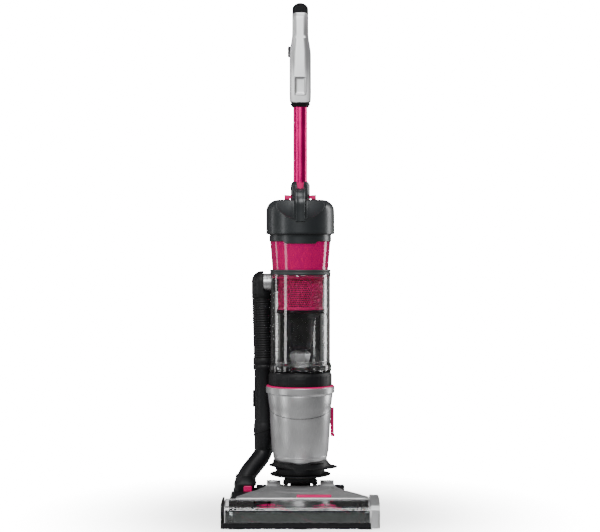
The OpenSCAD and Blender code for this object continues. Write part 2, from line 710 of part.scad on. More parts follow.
module cap() color(gunmetal) placed() difference() {
    union() {
        difference() {
            cap_body(0, cyclone_top + 0.1);
            cap_body(wall, cyclone_top);
        }
        intersection() {
            cap_body(0, cyclone_top + 0.1);
            scoops(wall);
        }
        intersection() {
            cap_body(0, cap_step);
            box(-80, 80, cap_flat_y - wall, cap_flat_y, cap_step, cap_top);
        }
        // Tongue in the middle of the skirt
        intersection() {
            ring(64, 62.7, cyclone_top - 5, cyclone_top + 1);
            box(-33, 33, -80, 0, cyclone_top - 5, cyclone_top + 1);
        }
    }
    box(-80, 80, cap_flat_y, 90, cap_step, cap_top + 1);
    scoops(0);
}

// Arch over the cap, from a foot on its front to a foot on its top
function arc(cy, cz, ry, rz, from, to, steps) = [for (i = [0:steps]) let (a = from + (to - from) * i / steps)
    [cy + ry * cos(a), cz + rz * sin(a)]];
module carry_handle() color(gunmetal) placed() side(-9.5, 9.5) polygon(concat(
    [[-cap_r - 0.2, 600], [-cap_r - 4.5, 602]],
    arc(-40, 634, 35, 34, 180, 90, 10),
    arc(4, 644.2, 26, 23.8, 90, 0, 8),
    arc(4, 644.2, 12, 11.8, 0, 90, 6),
    arc(-40, 632, cap_r - 39.8, 24, 90, 180, 10)));

// ---------- handle ----------

module at_tube() translate([0, tube_y, 0]) children();

module handle_tube() color(pink) placed() at_tube() ring(tube_r, tube_r - 1.5, tube_bottom, tube_top);

module handle_collar() color(black) placed() at_tube() rotate_extrude()
    polygon([[tube_r + 0.05, collar_bottom], [17.5, collar_bottom], [20.5, collar_top], [tube_r + 0.05, collar_top]]);

// Side outline of the closed loop, as (distance behind the tube, height)
module loop_outline() difference() {
    hull() {
        translate([2, 869]) circle(r = 18, $fn = 64);
        translate([2, 1028]) circle(r = 18, $fn = 64);
        translate([30, total_h - 27]) circle(r = 27, $fn = 64);
        translate([grip_reach - 22, 950]) circle(r = 22, $fn = 64);
    }
    hull() {
        translate([20, 925]) circle(r = 9.5, $fn = 48);
        translate([20, 1016]) circle(r = 9.5, $fn = 48);
        translate([32, 1024]) circle(r = 9.5, $fn = 48);
        translate([grip_reach - 33.5, 945]) circle(r = 9.5, $fn = 48);
    }
}

// The soft grip covers the back of the loop and its top
module grip_zone() polygon([[-30, 1044], [10, 1040], [28, 1028], [38, 1010], [38, 880], [90, 880],
                            [90, 1090], [-30, 1090]]);

module front_view_limit() rotate([90, 0, 0]) translate([0, 0, -100]) linear_extrude(200) union() {
    translate([0, total_h - 17]) circle(r = 17);
    translate([-17, 840]) square([34, total_h - 857]);
}

module handle_shell() color(silver) placed() at_tube() difference() {
    union() {
        intersection() {
            side(-17, 17) difference() {
                loop_outline();
                grip_zone();
            }
            front_view_limit();
        }
        // Wider lower part of the stick
        hull() {
            translate([0, 0, collar_top + 0.1]) cylinder(r = 21, h = 4, $fn = 32);
            box(-23.5, 23.5, -8, 8, 870, 940);
            box(-14, 14, -17.5, 12, 870, 905);
            box(-17, 17, -6, 6, 940, 982);
        }
    }
    box(-13, 13, -30, -16, 865, 905);
    rod_x(clip_r + 0.2, -30, -17.1, 0, clip_z);
}

module handle_grip() color(black) placed() at_tube() intersection() {
    side(-17, 17) intersection() {
        loop_outline();
        grip_zone();
    }
    front_view_limit();
}

module handle_panel() color("#8b8d90") placed() at_tube() box(-12.8, 12.8, -17.3, -16, 865.2, 904.8);

module cord_clip() color(black) placed() at_tube() difference() {
    rod_x(clip_r, -26.5, -17.2, 0, clip_z);
    rod_x(clip_r - 3.5, -24, -17, 0, clip_z);
    box(-30, -10, -20, -6, 900, 1000);
}

// ---------- assembly ----------

sole_plate();
head_cover();
clear_hood();
front_bumper();
right_end_cap();
trim_strip();
brush_bearings();
brush_motor();
drive_belt();
suction_duct();
axle_pins();
brush_core();
brush_bristles();
brush_pulley();
motor_pulley();
left_wheel();
right_wheel();
left_roller();
right_roller();
yoke();
duct_drum();
duct_button();
lower_hose();
base_skirt();
motor_cup();
cup_ring();
latch_ring();
bin_button();
motor_can();
motor_mounts();
exhaust_filter();
impeller();
spine();
spine_screws();
tube_socket();
tube_catch();
left_tab();
right_tab();
power_switch();
cord_inlet();
cord_hook();
hose_elbow();
suction_hose();
hose_cuff();
bin_shell();
bin_base();
seal_ring();
shroud();
cyclone_cone();
cyclone_shell();
inlet_connector();
foam_filter();
cap();
carry_handle();
handle_tube();
handle_collar();
handle_shell();
handle_grip();
handle_panel();
cord_clip();
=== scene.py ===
# Looks of the upright vacuum cleaner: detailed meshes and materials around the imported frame.
import json
import math
import random

import bmesh
import bpy
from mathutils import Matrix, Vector


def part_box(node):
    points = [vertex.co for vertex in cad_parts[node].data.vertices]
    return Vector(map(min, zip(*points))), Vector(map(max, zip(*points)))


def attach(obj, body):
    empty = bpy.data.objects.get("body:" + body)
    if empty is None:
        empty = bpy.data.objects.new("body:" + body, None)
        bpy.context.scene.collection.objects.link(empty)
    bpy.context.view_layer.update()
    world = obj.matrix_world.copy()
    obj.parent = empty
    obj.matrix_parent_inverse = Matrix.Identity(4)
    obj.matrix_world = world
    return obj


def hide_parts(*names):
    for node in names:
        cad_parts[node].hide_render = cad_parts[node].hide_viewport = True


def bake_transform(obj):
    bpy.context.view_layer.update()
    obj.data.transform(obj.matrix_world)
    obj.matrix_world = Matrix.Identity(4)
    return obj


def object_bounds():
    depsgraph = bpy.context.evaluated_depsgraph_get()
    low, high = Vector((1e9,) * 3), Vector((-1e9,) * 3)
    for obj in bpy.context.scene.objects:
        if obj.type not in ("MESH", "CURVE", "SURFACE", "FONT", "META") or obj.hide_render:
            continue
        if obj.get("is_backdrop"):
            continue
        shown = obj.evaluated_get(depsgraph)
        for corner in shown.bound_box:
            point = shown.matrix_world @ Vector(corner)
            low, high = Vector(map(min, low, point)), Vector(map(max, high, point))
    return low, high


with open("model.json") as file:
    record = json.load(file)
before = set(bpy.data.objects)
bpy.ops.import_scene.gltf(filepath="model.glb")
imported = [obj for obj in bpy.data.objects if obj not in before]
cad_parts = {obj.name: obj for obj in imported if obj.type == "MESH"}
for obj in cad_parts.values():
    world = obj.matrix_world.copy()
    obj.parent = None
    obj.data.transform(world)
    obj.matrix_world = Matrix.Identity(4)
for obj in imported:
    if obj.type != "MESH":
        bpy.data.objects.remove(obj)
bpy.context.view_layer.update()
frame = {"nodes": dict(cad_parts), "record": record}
MM = 0.001


def corners(node):
    """Lowest and highest corner of a CAD node, in millimetres from the body's centre line on the floor."""
    low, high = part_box(node)
    return (low - ORIGIN) / MM, (high - ORIGIN) / MM


bin_low, bin_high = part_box("bin_shell")
ORIGIN = Vector(((bin_low.x + bin_high.x) / 2, (bin_low.y + bin_high.y) / 2, 0))


# ---------------------------------------------------------------- camera, light and floor

SURROUND_LIGHT = 0.13
SURROUND_SEEN = 20


def camera():
    """A long lens at the height of the bin's top, square on to the machine's front."""
    distance, height, lens = 3.05, 0.5405, 88.6
    tilt = math.radians(0.62)
    data = bpy.data.cameras.new("camera")
    data.lens = lens
    data.sensor_width = 36
    cam = bpy.data.objects.new("camera", data)
    bpy.context.scene.collection.objects.link(cam)
    cam.location = (-0.0006, ORIGIN.y - distance, height)
    cam.rotation_euler = (math.pi / 2 - tilt, 0, 0)
    data.clip_start, data.clip_end = 0.1, 100
    bpy.context.scene.camera = cam


def area_light(name, place, target, size, power):
    data = bpy.data.lights.new(name, "AREA")
    data.shape = "RECTANGLE"
    data.size, data.size_y = size
    data.energy = power
    lamp = bpy.data.objects.new(name, data)
    bpy.context.scene.collection.objects.link(lamp)
    lamp.location = place
    lamp.rotation_euler = (Vector(target) - Vector(place)).to_track_quat("-Z", "Y").to_euler()


def studio():
    """A white surround, a wide soft box high in front, a strip on the left, two rims behind and one light overhead."""
    world = bpy.data.worlds.new("studio")
    bpy.context.scene.world = world
    world.use_nodes = True
    tree = world.node_tree
    back = tree.nodes["Background"]
    path = tree.nodes.new("ShaderNodeLightPath")
    strength = tree.nodes.new("ShaderNodeMapRange")
    strength.inputs["To Min"].default_value = SURROUND_LIGHT
    strength.inputs["To Max"].default_value = SURROUND_SEEN
    tree.links.new(path.outputs["Is Camera Ray"], strength.inputs["Value"])
    tree.links.new(strength.outputs["Result"], back.inputs["Strength"])
    back.inputs["Color"].default_value = (1, 1, 1, 1)
    area_light("key", (-0.35, -2.8, 2.0), (0, 0, 0.3), (1.4, 1.2), 90)
    area_light("left_strip", (-2.2, -1.3, 0.8), (0, 0, 0.5), (0.5, 2.2), 22)
    area_light("rim", (2.0, 0.9, 0.9), (0, 0, 0.5), (0.6, 2.0), 38)
    area_light("left_rim", (-2.2, 0.7, 0.8), (0, 0, 0.5), (0.35, 2.0), 9)
    area_light("top", (0.1, -0.7, 2.6), (0, -0.1, 0.2), (1.0, 1.0), 30)


def floor():
    """A pale floor that fades out into the white surround."""
    bpy.ops.mesh.primitive_circle_add(vertices=96, radius=3.2, fill_type="TRIFAN", location=(0, 0, 0))
    plane = bpy.context.object
    plane.name = "floor"
    mat = bpy.data.materials.new("floor")
    mat.use_nodes = True
    tree = mat.node_tree
    shader = tree.nodes["Principled BSDF"]
    shader.inputs["Base Color"].default_value = (0.93, 0.93, 0.93, 1)
    shader.inputs["Roughness"].default_value = 0.55
    shader.inputs["Emission Color"].default_value = (1, 1, 1, 1)
    shader.inputs["Emission Strength"].default_value = 0.25
    coord = tree.nodes.new("ShaderNodeTexCoord")
    length = tree.nodes.new("ShaderNodeVectorMath")
    length.operation = "LENGTH"
    tree.links.new(coord.outputs["Object"], length.inputs[0])
    fade = tree.nodes.new("ShaderNodeMapRange")
    fade.interpolation_type = "SMOOTHSTEP"
    fade.inputs["From Min"].default_value = 0.16
    fade.inputs["From Max"].default_value = 0.75
    fade.inputs["To Min"].default_value = 0.9
    fade.inputs["To Max"].default_value = 0.0
    tree.links.new(length.outputs["Value"], fade.inputs["Value"])
    tree.links.new(fade.outputs["Result"], shader.inputs["Alpha"])
    plane.data.materials.append(mat)
    plane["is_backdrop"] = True


camera()
studio()
floor()


# ---------------------------------------------------------------- materials

def new_material(name):
    mat = bpy.data.materials.new(name)
    mat.use_nodes = True
    tree = mat.node_tree
    return mat, tree, tree.nodes["Principled BSDF"]


def noise(tree, scale, detail=3.0, stretch=(1, 1, 1)):
    """Noise in object space; its factor output."""
    coord = tree.nodes.new("ShaderNodeTexCoord")
    mapping = tree.nodes.new("ShaderNodeMapping")
    mapping.inputs["Scale"].default_value = stretch
    tex = tree.nodes.new("ShaderNodeTexNoise")
    tex.inputs["Scale"].default_value = scale
    tex.inputs["Detail"].default_value = detail
    tree.links.new(coord.outputs["Object"], mapping.inputs["Vector"])
    tree.links.new(mapping.outputs["Vector"], tex.inputs["Vector"])
    return tex.outputs["Fac"]


def ranged(tree, value, low, high):
    node = tree.nodes.new("ShaderNodeMapRange")
    node.inputs["From Min"].default_value = 0.3
    node.inputs["From Max"].default_value = 0.7
    node.inputs["To Min"].default_value = low
    node.inputs["To Max"].default_value = high
    tree.links.new(value, node.inputs["Value"])
    return node.outputs["Result"]


def varied_color(tree, value, color, spread):
    """The colour, a little darker and lighter with the noise value."""
    ramp = tree.nodes.new("ShaderNodeValToRGB")
    ramp.color_ramp.elements[0].position = 0.3
    ramp.color_ramp.elements[1].position = 0.7
    ramp.color_ramp.elements[0].color = [c * (1 - spread) for c in color] + [1]
    ramp.color_ramp.elements[1].color = [min(1, c * (1 + spread)) for c in color] + [1]
    tree.links.new(value, ramp.inputs["Fac"])
    return ramp.outputs["Color"]


def bump(tree, value, shader, strength, distance):
    node = tree.nodes.new("ShaderNodeBump")
    node.inputs["Strength"].default_value = strength
    node.inputs["Distance"].default_value = distance
    tree.links.new(value, node.inputs["Height"])
    tree.links.new(node.outputs["Normal"], shader.inputs["Normal"])


def moulded(name, color, rough, grain=900, depth=0.00003, coat=0.0, spread=0.06, metallic=0.0, gloss=0.5):
    """Moulded plastic or paint: fine grain, uneven sheen and a slight change of colour."""
    mat, tree, shader = new_material(name)
    cloud = noise(tree, 18)
    fine = noise(tree, grain, 2)
    tree.links.new(varied_color(tree, cloud, color, spread), shader.inputs["Base Color"])
    tree.links.new(ranged(tree, cloud, rough * 0.85, rough * 1.15), shader.inputs["Roughness"])
    shader.inputs["Metallic"].default_value = metallic
    shader.inputs["Specular IOR Level"].default_value = gloss
    shader.inputs["Coat Weight"].default_value = coat
    shader.inputs["Coat Roughness"].default_value = 0.08
    bump(tree, fine, shader, 0.35, depth)
    return mat


def see_through(name, color, rough, transmission, coat=0.0, gloss=0.14):
    """Clear or tinted plastic with faint swirls in its polish."""
    mat, tree, shader = new_material(name)
    swirl = noise(tree, 40, 4)
    tree.links.new(varied_color(tree, swirl, color, 0.03), shader.inputs["Base Color"])
    tree.links.new(ranged(tree, swirl, rough, rough * 1.6), shader.inputs["Roughness"])
    shader.inputs["Transmission Weight"].default_value = transmission
    shader.inputs["IOR"].default_value = 1.46
    shader.inputs["Specular IOR Level"].default_value = gloss
    shader.inputs["Coat Weight"].default_value = coat
    shader.inputs["Coat Roughness"].default_value = 0.04
    return mat


MATERIALS = {
    "silver": moulded("silver", (0.42, 0.425, 0.43), 0.36, grain=2600, depth=0.00001, coat=0.05, spread=0.02,
                      metallic=0.7),
    "gunmetal": moulded("gunmetal", (0.022, 0.025, 0.027), 0.36, grain=1500, coat=0.08, metallic=0.25, gloss=0.4),
    "black": moulded("black", (0.005, 0.005, 0.006), 0.48, grain=1400, gloss=0.22),
    "hose_black": moulded("hose_black", (0.005, 0.005, 0.006), 0.45, grain=1200, gloss=0.2),
    "rubber": moulded("rubber", (0.005, 0.005, 0.006), 0.65, grain=1800, depth=0.00005, gloss=0.15),
    "pink": moulded("pink", (0.6, 0.0, 0.12), 0.38, grain=900, gloss=0.25),
    "pink_metal": moulded("pink_metal", (0.62, 0.0, 0.15), 0.34, grain=3000, depth=0.00001, metallic=0.95, gloss=0.2),
    "pink_clear": see_through("pink_clear", (0.85, 0.0, 0.22), 0.05, 0.6, coat=0.05, gloss=0.3),
    "clear": see_through("clear", (0.97, 0.98, 0.98), 0.02, 1.0),
    "smoked": see_through("smoked", (0.36, 0.4, 0.39), 0.05, 0.98),
    "dark_grey": moulded("dark_grey", (0.03, 0.036, 0.036), 0.4, gloss=0.3),
    "steel": moulded("steel", (0.55, 0.55, 0.56), 0.28, grain=3000, depth=0.00001, metallic=1.0),
    "motor_metal": moulded("motor_metal", (0.42, 0.42, 0.43), 0.45, metallic=0.9),
    "copper": moulded("copper", (0.6, 0.2, 0.1), 0.35, coat=0.3),
    "bristle": moulded("bristle", (1.0, 0.0, 0.25), 0.5, gloss=0.2),
    "filter_white": moulded("filter_white", (0.75, 0.74, 0.7), 0.9, grain=600, depth=0.0002),
    "foam": moulded("foam", (0.04, 0.16, 0.3), 0.95, grain=700, depth=0.0004),
}
SLOT = {part["node"]: part["material_slot"] for part in frame["record"]["subparts"]}
BODY = {node: body for body, nodes in frame["record"]["behaviour"]["bodies"].items() for node in nodes}


# ---------------------------------------------------------------- mesh tools (millimetres)

def place(x, y, z):
    return ORIGIN + Vector((x, y, z)) * MM


def piece(name, mesh_data, *nodes, like=None, slot=None, sharp=35, bevel=0.0, steps=2, riding=True):
    """A mesh object that stands for nodes, or lies beside one; it rides the same body and shares its finish."""
    verts, faces = mesh_data
    model = nodes[0] if nodes else like
    mesh = bpy.data.meshes.new(name)
    mesh.from_pydata([place(*v) for v in verts], [], faces)
    bm = bmesh.new()
    bm.from_mesh(mesh)
    bmesh.ops.remove_doubles(bm, verts=bm.verts, dist=0.01 * MM)
    bmesh.ops.dissolve_degenerate(bm, edges=bm.edges, dist=0.005 * MM)
    bmesh.ops.recalc_face_normals(bm, faces=bm.faces)
    bm.to_mesh(mesh)
    bm.free()
    obj = bpy.data.objects.new(name, mesh)
    bpy.context.scene.collection.objects.link(obj)
    finish(obj, slot or SLOT[model])
    mesh.shade_smooth()
    mesh.set_sharp_from_angle(angle=math.radians(sharp))
    if bevel:
        edge = obj.modifiers.new("edge", "BEVEL")
        edge.width = bevel * MM
        edge.segments = steps
        edge.limit_method = "ANGLE"
        edge.angle_limit = math.radians(sharp)
        edge.harden_normals = True
    if riding:
        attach(obj, BODY[model])
    if nodes:
        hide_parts(*nodes)
    return obj


def finish(obj, slot):
    obj.data.materials.clear()
    obj.data.materials.append(MATERIALS[slot])


def rounded(outline, radius, steps=4):
    """A closed 2-D outline with its corners rounded."""
    out = []
    for i, corner in enumerate(outline):
        corner = Vector(corner)
        before = Vector(outline[i - 1]) - corner
        after = Vector(outline[(i + 1) % len(outline)]) - corner
        reach = min(radius, before.length * 0.45, after.length * 0.45)
        start, end = corner + before.normalized() * reach, corner + after.normalized() * reach
        for k in range(steps + 1):
            t = k / steps
            out.append(start.lerp(corner, t).lerp(corner.lerp(end, t), t))
    return out


def loft(rings, closed=False, caps=True):
    """Skins a list of rings that have the same number of points."""
    count = len(rings[0])
    verts = [tuple(v) for ring in rings for v in ring]
    faces = []
    for i in range(len(rings) if closed else len(rings) - 1):
        j = (i + 1) % len(rings)
        for k in range(count):
            n = (k + 1) % count
            faces.append((i * count + k, j * count + k, j * count + n, i * count + n))
    if caps and not closed:
        faces.append(tuple(range(count)))
        faces.append(tuple((len(rings) - 1) * count + k for k in range(count)))
    return verts, faces


def lathe(outline, center=(0, 0), segments=128, shape=None):
    """Turns a closed (radius, height) outline about a vertical axis; shape may move each point."""
    rings = []
    for k in range(segments):
        a = math.tau * k / segments
        ring = [(center[0] + r * math.sin(a), center[1] - r * math.cos(a), z) for r, z in outline]
        rings.append([shape(*p) for p in ring] if shape else ring)
    return loft(rings, closed=True)


def prism(outline, axis, low, high):
    """A flat outline given thickness along x, y or z."""
    place_at = {"x": lambda p, h: (h, p[0], p[1]), "y": lambda p, h: (p[0], h, p[1]), "z": lambda p, h: (p[0], p[1], h)}
    return loft([[place_at[axis](p, h) for p in outline] for h in (low, high)])


def rect(x0, z0, x1, z1):
    """A rectangle's four corners."""
    return [(x0, z0), (x1, z0), (x1, z1), (x0, z1)]


def block(low, high):
    """A box between two corners, for pieces that get bevelled."""
    return prism(rect(*low[:2], *high[:2]), "z", low[2], high[2])


def round_box(low, high, radius, axis="z", steps=4):
    """A box with rounded corners in the plane across the axis."""
    a, b = {"x": (1, 2), "y": (0, 2), "z": (0, 1)}[axis]
    h = {"x": 0, "y": 1, "z": 2}[axis]
    return prism(rounded(rect(low[a], low[b], high[a], high[b]), radius, steps), axis, low[h], high[h])


def axle(outline, y, z, segments=48):
    """Turns a closed (radius, x) outline about a line along x."""
    rings = []
    for k in range(segments):
        a = math.tau * k / segments
        rings.append([(x, y + r * math.cos(a), z + r * math.sin(a)) for r, x in outline])
    return loft(rings, closed=True)


def sweep(path, section, closed=False):
    """Carries a 2-D section, or a function of the share of the path, along a path."""
    path = [Vector(p) for p in path]
    normal, rings = Vector((0, 1, 0)), []
    for i, point in enumerate(path):
        ahead = path[(i + 1) % len(path)] if closed or i + 1 < len(path) else point
        behind = path[i - 1] if closed or i else point
        along = (ahead - behind).normalized()
        normal = (normal - along * normal.dot(along)).normalized()
        side = along.cross(normal)
        shape = section(i / (len(path) - 1)) if callable(section) else section
        rings.append([point + side * u + normal * v for u, v in shape])
    return loft(rings, closed=closed)


def circle(radius, sides=32):
    return [(radius * math.cos(math.tau * k / sides), radius * math.sin(math.tau * k / sides)) for k in range(sides)]


def arc(center, radius, degrees):
    """Points of a circle at the given angles."""
    return [(center[0] + radius * math.cos(math.radians(a)), center[1] + radius * math.sin(math.radians(a)))
            for a in degrees]


def radial(degrees):
    """Places (reach, across, height) points about the centre line, turned from the right-hand side."""
    c, s = math.cos(math.radians(degrees)), math.sin(math.radians(degrees))
    return lambda reach, across, z: (reach * c - across * s, reach * s + across * c, z)


def joined(parts):
    """Several (verts, faces) as one."""
    verts, faces = [], []
    for part_verts, part_faces in parts:
        faces += [tuple(i + len(verts) for i in face) for face in part_faces]
        verts += part_verts
    return verts, faces


def smooth(t):
    t = min(1, max(0, t))
    return t * t * (3 - 2 * t)


def carve(obj, *cutters):
    """Cuts (verts, faces) shapes out of a piece."""
    for verts, faces in cutters:
        mesh = bpy.data.meshes.new("cutter")
        mesh.from_pydata([place(*v) for v in verts], [], faces)
        tool = bpy.data.objects.new("cutter", mesh)
        bpy.context.scene.collection.objects.link(tool)
        cut = obj.modifiers.new("cut", "BOOLEAN")
        cut.operation, cut.object, cut.solver = "DIFFERENCE", tool, "EXACT"
        bpy.context.view_layer.update()
        result = bpy.data.meshes.new_from_object(obj.evaluated_get(bpy.context.evaluated_depsgraph_get()))
        obj.modifiers.remove(cut)
        obj.data = result
        bpy.data.objects.remove(tool)
    obj.data.shade_smooth()
    obj.data.set_sharp_from_angle(angle=math.radians(35))


for cad_name, cad in frame["nodes"].items():
    finish(cad, SLOT[cad_name])

# ---------------------------------------------------------------- handle

TUBE_Y = (corners("handle_tube")[0].y + corners("handle_tube")[1].y) / 2
HANDLE_TOP = corners("handle_grip")[1].z
STICK_BOTTOM = corners("handle_shell")[0].z
GRIP_REACH = corners("handle_grip")[1].y - TUBE_Y


def hull(points):
    """Convex outline round 2-D points."""
    points = sorted(points)
    chains = []
    for run in (points, points[::-1]):
        chain = []
        for p in run:
            while len(chain) > 1 and ((chain[-1][0] - chain[-2][0]) * (p[1] - chain[-2][1])
                                      <= (chain[-1][1] - chain[-2][1]) * (p[0] - chain[-2][0])):
                chain.pop()
            chain.append(p)
        chains.append(chain[:-1])
    return chains[0] + chains[1]


def discs(*circles):
    """Convex outline round (y, z, radius) discs."""
    return hull([(y + r * math.cos(math.tau * k / 64), z + r * math.sin(math.tau * k / 64))
                 for y, z, r in circles for k in range(64)])


def ray(outline, center, angle):
    """Where a ray from the centre crosses a convex outline."""
    direction = Vector((math.cos(angle), math.sin(angle)))
    for i, a in enumerate(outline):
        a, b = Vector(a) - center, Vector(outline[(i + 1) % len(outline)]) - center
        edge = b - a
        across = direction.cross(edge)
        if abs(across) < 1e-9:
            continue
        reach, share = a.cross(edge) / across, a.cross(direction) / across
        if reach > 0 and -1e-6 <= share <= 1 + 1e-6:
            return center + direction * reach
    return center


FOOT = STICK_BOTTOM + 2.5
LOOP = discs((-14.6, FOOT, 2.5), (18, FOOT, 2.5), (2, STICK_BOTTOM + 19.9, 18), (2, HANDLE_TOP - 38, 18),
             (30, HANDLE_TOP - 27, 27), (GRIP_REACH - 22, 950, 22))
HOLE = discs((20, 925, 9.5), (20, 1016, 9.5), (32, 1024, 9.5), (GRIP_REACH - 33.5, 945, 9.5))
EYE = Vector((26, 975))
GRIP_HALF, DOME_R = 16.5, 17


def half_width(z, y):
    """Half the handle's width: slim at the back, wider low down in front, round at the very top."""
    front = 17.2 + 5.6 * smooth((998 - z) / 50) - 0.7 * smooth((866 - z) / 20)
    width = GRIP_HALF + (front - GRIP_HALF) * smooth((28 - y) / 22)
    dome = HANDLE_TOP - DOME_R
    return min(width, math.sqrt(max(9, DOME_R ** 2 - (z - dome) ** 2))) if z > dome else width


def loop_section(angle):
    """Section of the loop from its outer to its inner edge: flat facets in front, a seam line, round at the back."""
    outer, inner = ray(LOOP, EYE, angle), ray(HOLE, EYE, angle)
    depth = (inner - outer).length
    step = 0.9 * smooth((-math.cos(angle) - 0.2) / 0.5)
    soft = min(6, depth / 3)
    edge = [(0, 0.3), (0, 0.57), (step, 0.62), (step + 0.12 * soft, 0.76), (step + 0.3 * soft, 0.88),
            (step + 0.6 * soft, 0.97), (step + soft, 1), (depth - soft, 1), (depth - 0.5 * soft, 0.93),
            (depth - 0.12 * soft, 0.75), (depth, 0.5)]
    shape = [(0, 0)] + edge + [(inward, -across) for inward, across in edge[::-1]]
    ring = []
    for inward, across in shape:
        point = outer.lerp(inner, inward / depth)
        ring.append((across * half_width(point.y, point.x), TUBE_Y + point.x, point.y))
    return ring


def loop_part(start, end, steps):
    return loft([loop_section(math.radians(start + (end - start) * i / steps)) for i in range(steps + 1)])


# Angles about the eye: 180 is the front bar, 270 the stick's foot, 90 the top; the grip ends where the shell does
SEAM_TOP, SEAM_LOW = 121, 316
piece("handle_front", loop_part(SEAM_TOP, SEAM_LOW, 120), "handle_shell", sharp=44)
piece("handle_back_grip", loop_part(SEAM_TOP, SEAM_LOW - 360, 90), "handle_grip", sharp=44)

collar_low, collar_high = corners("handle_collar")
neck = [(15.1, collar_low.z), (17.3, collar_low.z), (19.5, collar_low.z + 4), (21.6, collar_high.z - 0.6),
        (21.6, collar_high.z), (15.1, collar_high.z)]
piece("handle_neck", lathe(rounded(neck, 0.8, 3), (0, TUBE_Y)), "handle_collar")

panel_low, panel_high = corners("handle_panel")


def panel():
    """A dished plate with a raised rim all round."""
    middle, face = (panel_low.z + panel_high.z) / 2, panel_low.y
    rings = []
    for inset, y in ((0, panel_high.y), (0, face - 1.2), (1, face - 1.9), (2.2, face - 1.2), (3.2, face - 0.5),
                     (7, face - 0.3)):
        half, tall = panel_high.x - inset, (panel_high.z - panel_low.z) / 2 - inset
        outline = rounded(rect(-half, -tall, half, tall), max(1, 5 - inset), 5)
        rings.append([(x, y, middle + z) for x, z in outline])
    return loft(rings)


piece("handle_plate", panel(), "handle_panel", sharp=50)

# ---------------------------------------------------------------- cap and carry handle

CAP_TOP = corners("cap")[1].z
CAP_R = corners("cap")[1].x
CAP_BACK = 48
CAP_CORNER = 24
HOLLOW_DEPTH = 45
CYCLONE_TOP = corners("cyclone_shell")[1].z
SKIRT_TOP = 573
SKIRT_BOTTOM = CYCLONE_TOP + 0.1


def soft_min(a, b, blend):
    """The smaller of two values, rounded where they meet."""
    share = min(1, max(0, 0.5 + (b - a) / (2 * blend)))
    return b + (a - b) * share - blend * share * (1 - share)


def cap_shape(x, y, z):
    """Sculpts the turned cap: a flat back, a wide hollow in front on both sides of the strap, a tongue on the skirt."""
    if z > SKIRT_TOP - 1 and y > CAP_BACK - 2:
        y = CAP_BACK - 2 + 2 * math.tanh((y - CAP_BACK + 2) / 2)
    if z > SKIRT_TOP + 16:
        rise_sideways = 24 * (abs(x) / 66) ** 1.5
        rise_back = HOLLOW_DEPTH * (max(0, y + 71) / 50) ** 1.5
        rib = 9 * (1 - smooth((abs(x) - 5) / 9)) * smooth((y + 70) / 20)
        z = soft_min(z, CAP_TOP - HOLLOW_DEPTH + rise_sideways + rise_back + rib, 2.5)
    if z < SKIRT_TOP - 6 and y < 0:
        z -= 4.5 * smooth((35 - abs(x)) / 5) * smooth((SKIRT_TOP - 8 - z) / 5)
    return (x, y, z)


def cap_outline():
    """From the skirt's inner lip, up the outside in close steps, to the middle of the top."""
    line = [(60.5, SKIRT_TOP + 8), (60.5, SKIRT_BOTTOM + 0.5), (61, SKIRT_BOTTOM), (63.4, SKIRT_BOTTOM),
            (64, SKIRT_BOTTOM + 0.6), (64, SKIRT_BOTTOM + 7), (64, SKIRT_TOP - 1.2), (64.4, SKIRT_TOP - 0.4),
            (69.4, SKIRT_TOP), (CAP_R - 0.3, SKIRT_TOP + 0.4), (CAP_R, SKIRT_TOP + 1.4)]
    line += [(CAP_R, SKIRT_TOP + 4 + k * 3) for k in range(int((CAP_TOP - CAP_CORNER - 6 - SKIRT_TOP) / 3) + 1)]
    line += arc((CAP_R - CAP_CORNER, CAP_TOP - CAP_CORNER), CAP_CORNER, [90 * k / 14 for k in range(1, 15)])
    line += [(r, CAP_TOP) for r in range(int(CAP_R - CAP_CORNER) - 2, 0, -3)]
    return line + [(0, CAP_TOP), (0, SKIRT_TOP + 8)]


piece("cap_body", lathe(cap_outline(), segments=224, shape=cap_shape), "cap", sharp=40)
STRAP_FRONT, STRAP_BACK = Vector((-40, 634)), Vector((4, 644.2))
STRAP_CREST = 0.55


def carry_handle():
    """A strap that rises from the cap's front, arches over it and comes down behind the middle."""
    edge = [(1, 0.14), (0.94, 0.03), (0.82, 0), (0.66, 0.05), (0.5, 0.1)]
    section = [(-x, depth) for x, depth in edge] + [(0, 0.12)] + edge[::-1]
    section += [(1, 0.82), (0.86, 0.97), (0.5, 1), (-0.5, 1), (-0.86, 0.97), (-1, 0.82)]
    steps, rings = 44, []
    for i in range(steps + 1):
        t = i / steps
        if t < STRAP_CREST:
            a = math.radians(186 - 96 * t / STRAP_CREST)
            outer = STRAP_FRONT + Vector((35 * math.cos(a), 34 * math.sin(a)))
            inner = STRAP_FRONT + Vector(((27.4 + 2.9 * t) * math.cos(a), 24 * math.sin(a) - 2))
        else:
            a = math.radians(90 - 96 * (t - STRAP_CREST) / (1 - STRAP_CREST))
            outer = STRAP_BACK + Vector((26 * math.cos(a), 23.8 * math.sin(a)))
            inner = STRAP_BACK + Vector((12 * math.cos(a), 11.8 * math.sin(a)))
        if 0.5 < t < STRAP_CREST:
            inner = inner.lerp(Vector((4, 656)), (t - 0.5) / 0.05 * 0.3)
        half = 9.2 + 1.2 * math.sin(math.pi * t)
        points = [(x, outer.lerp(inner, depth)) for x, depth in section]
        rings.append([(x * half, point.x, point.y) for x, point in points])
    # The foot runs down the cap's front
    foot = [[(x * 0.97, y + 0.9 * (z0 / 30), z - z0) for x, y, z in rings[0]] for z0 in (32, 30.5, 16)]
    return loft(foot + rings)


piece("carry_strap", carry_handle(), "carry_handle", sharp=40)

# ---------------------------------------------------------------- cyclone and bin

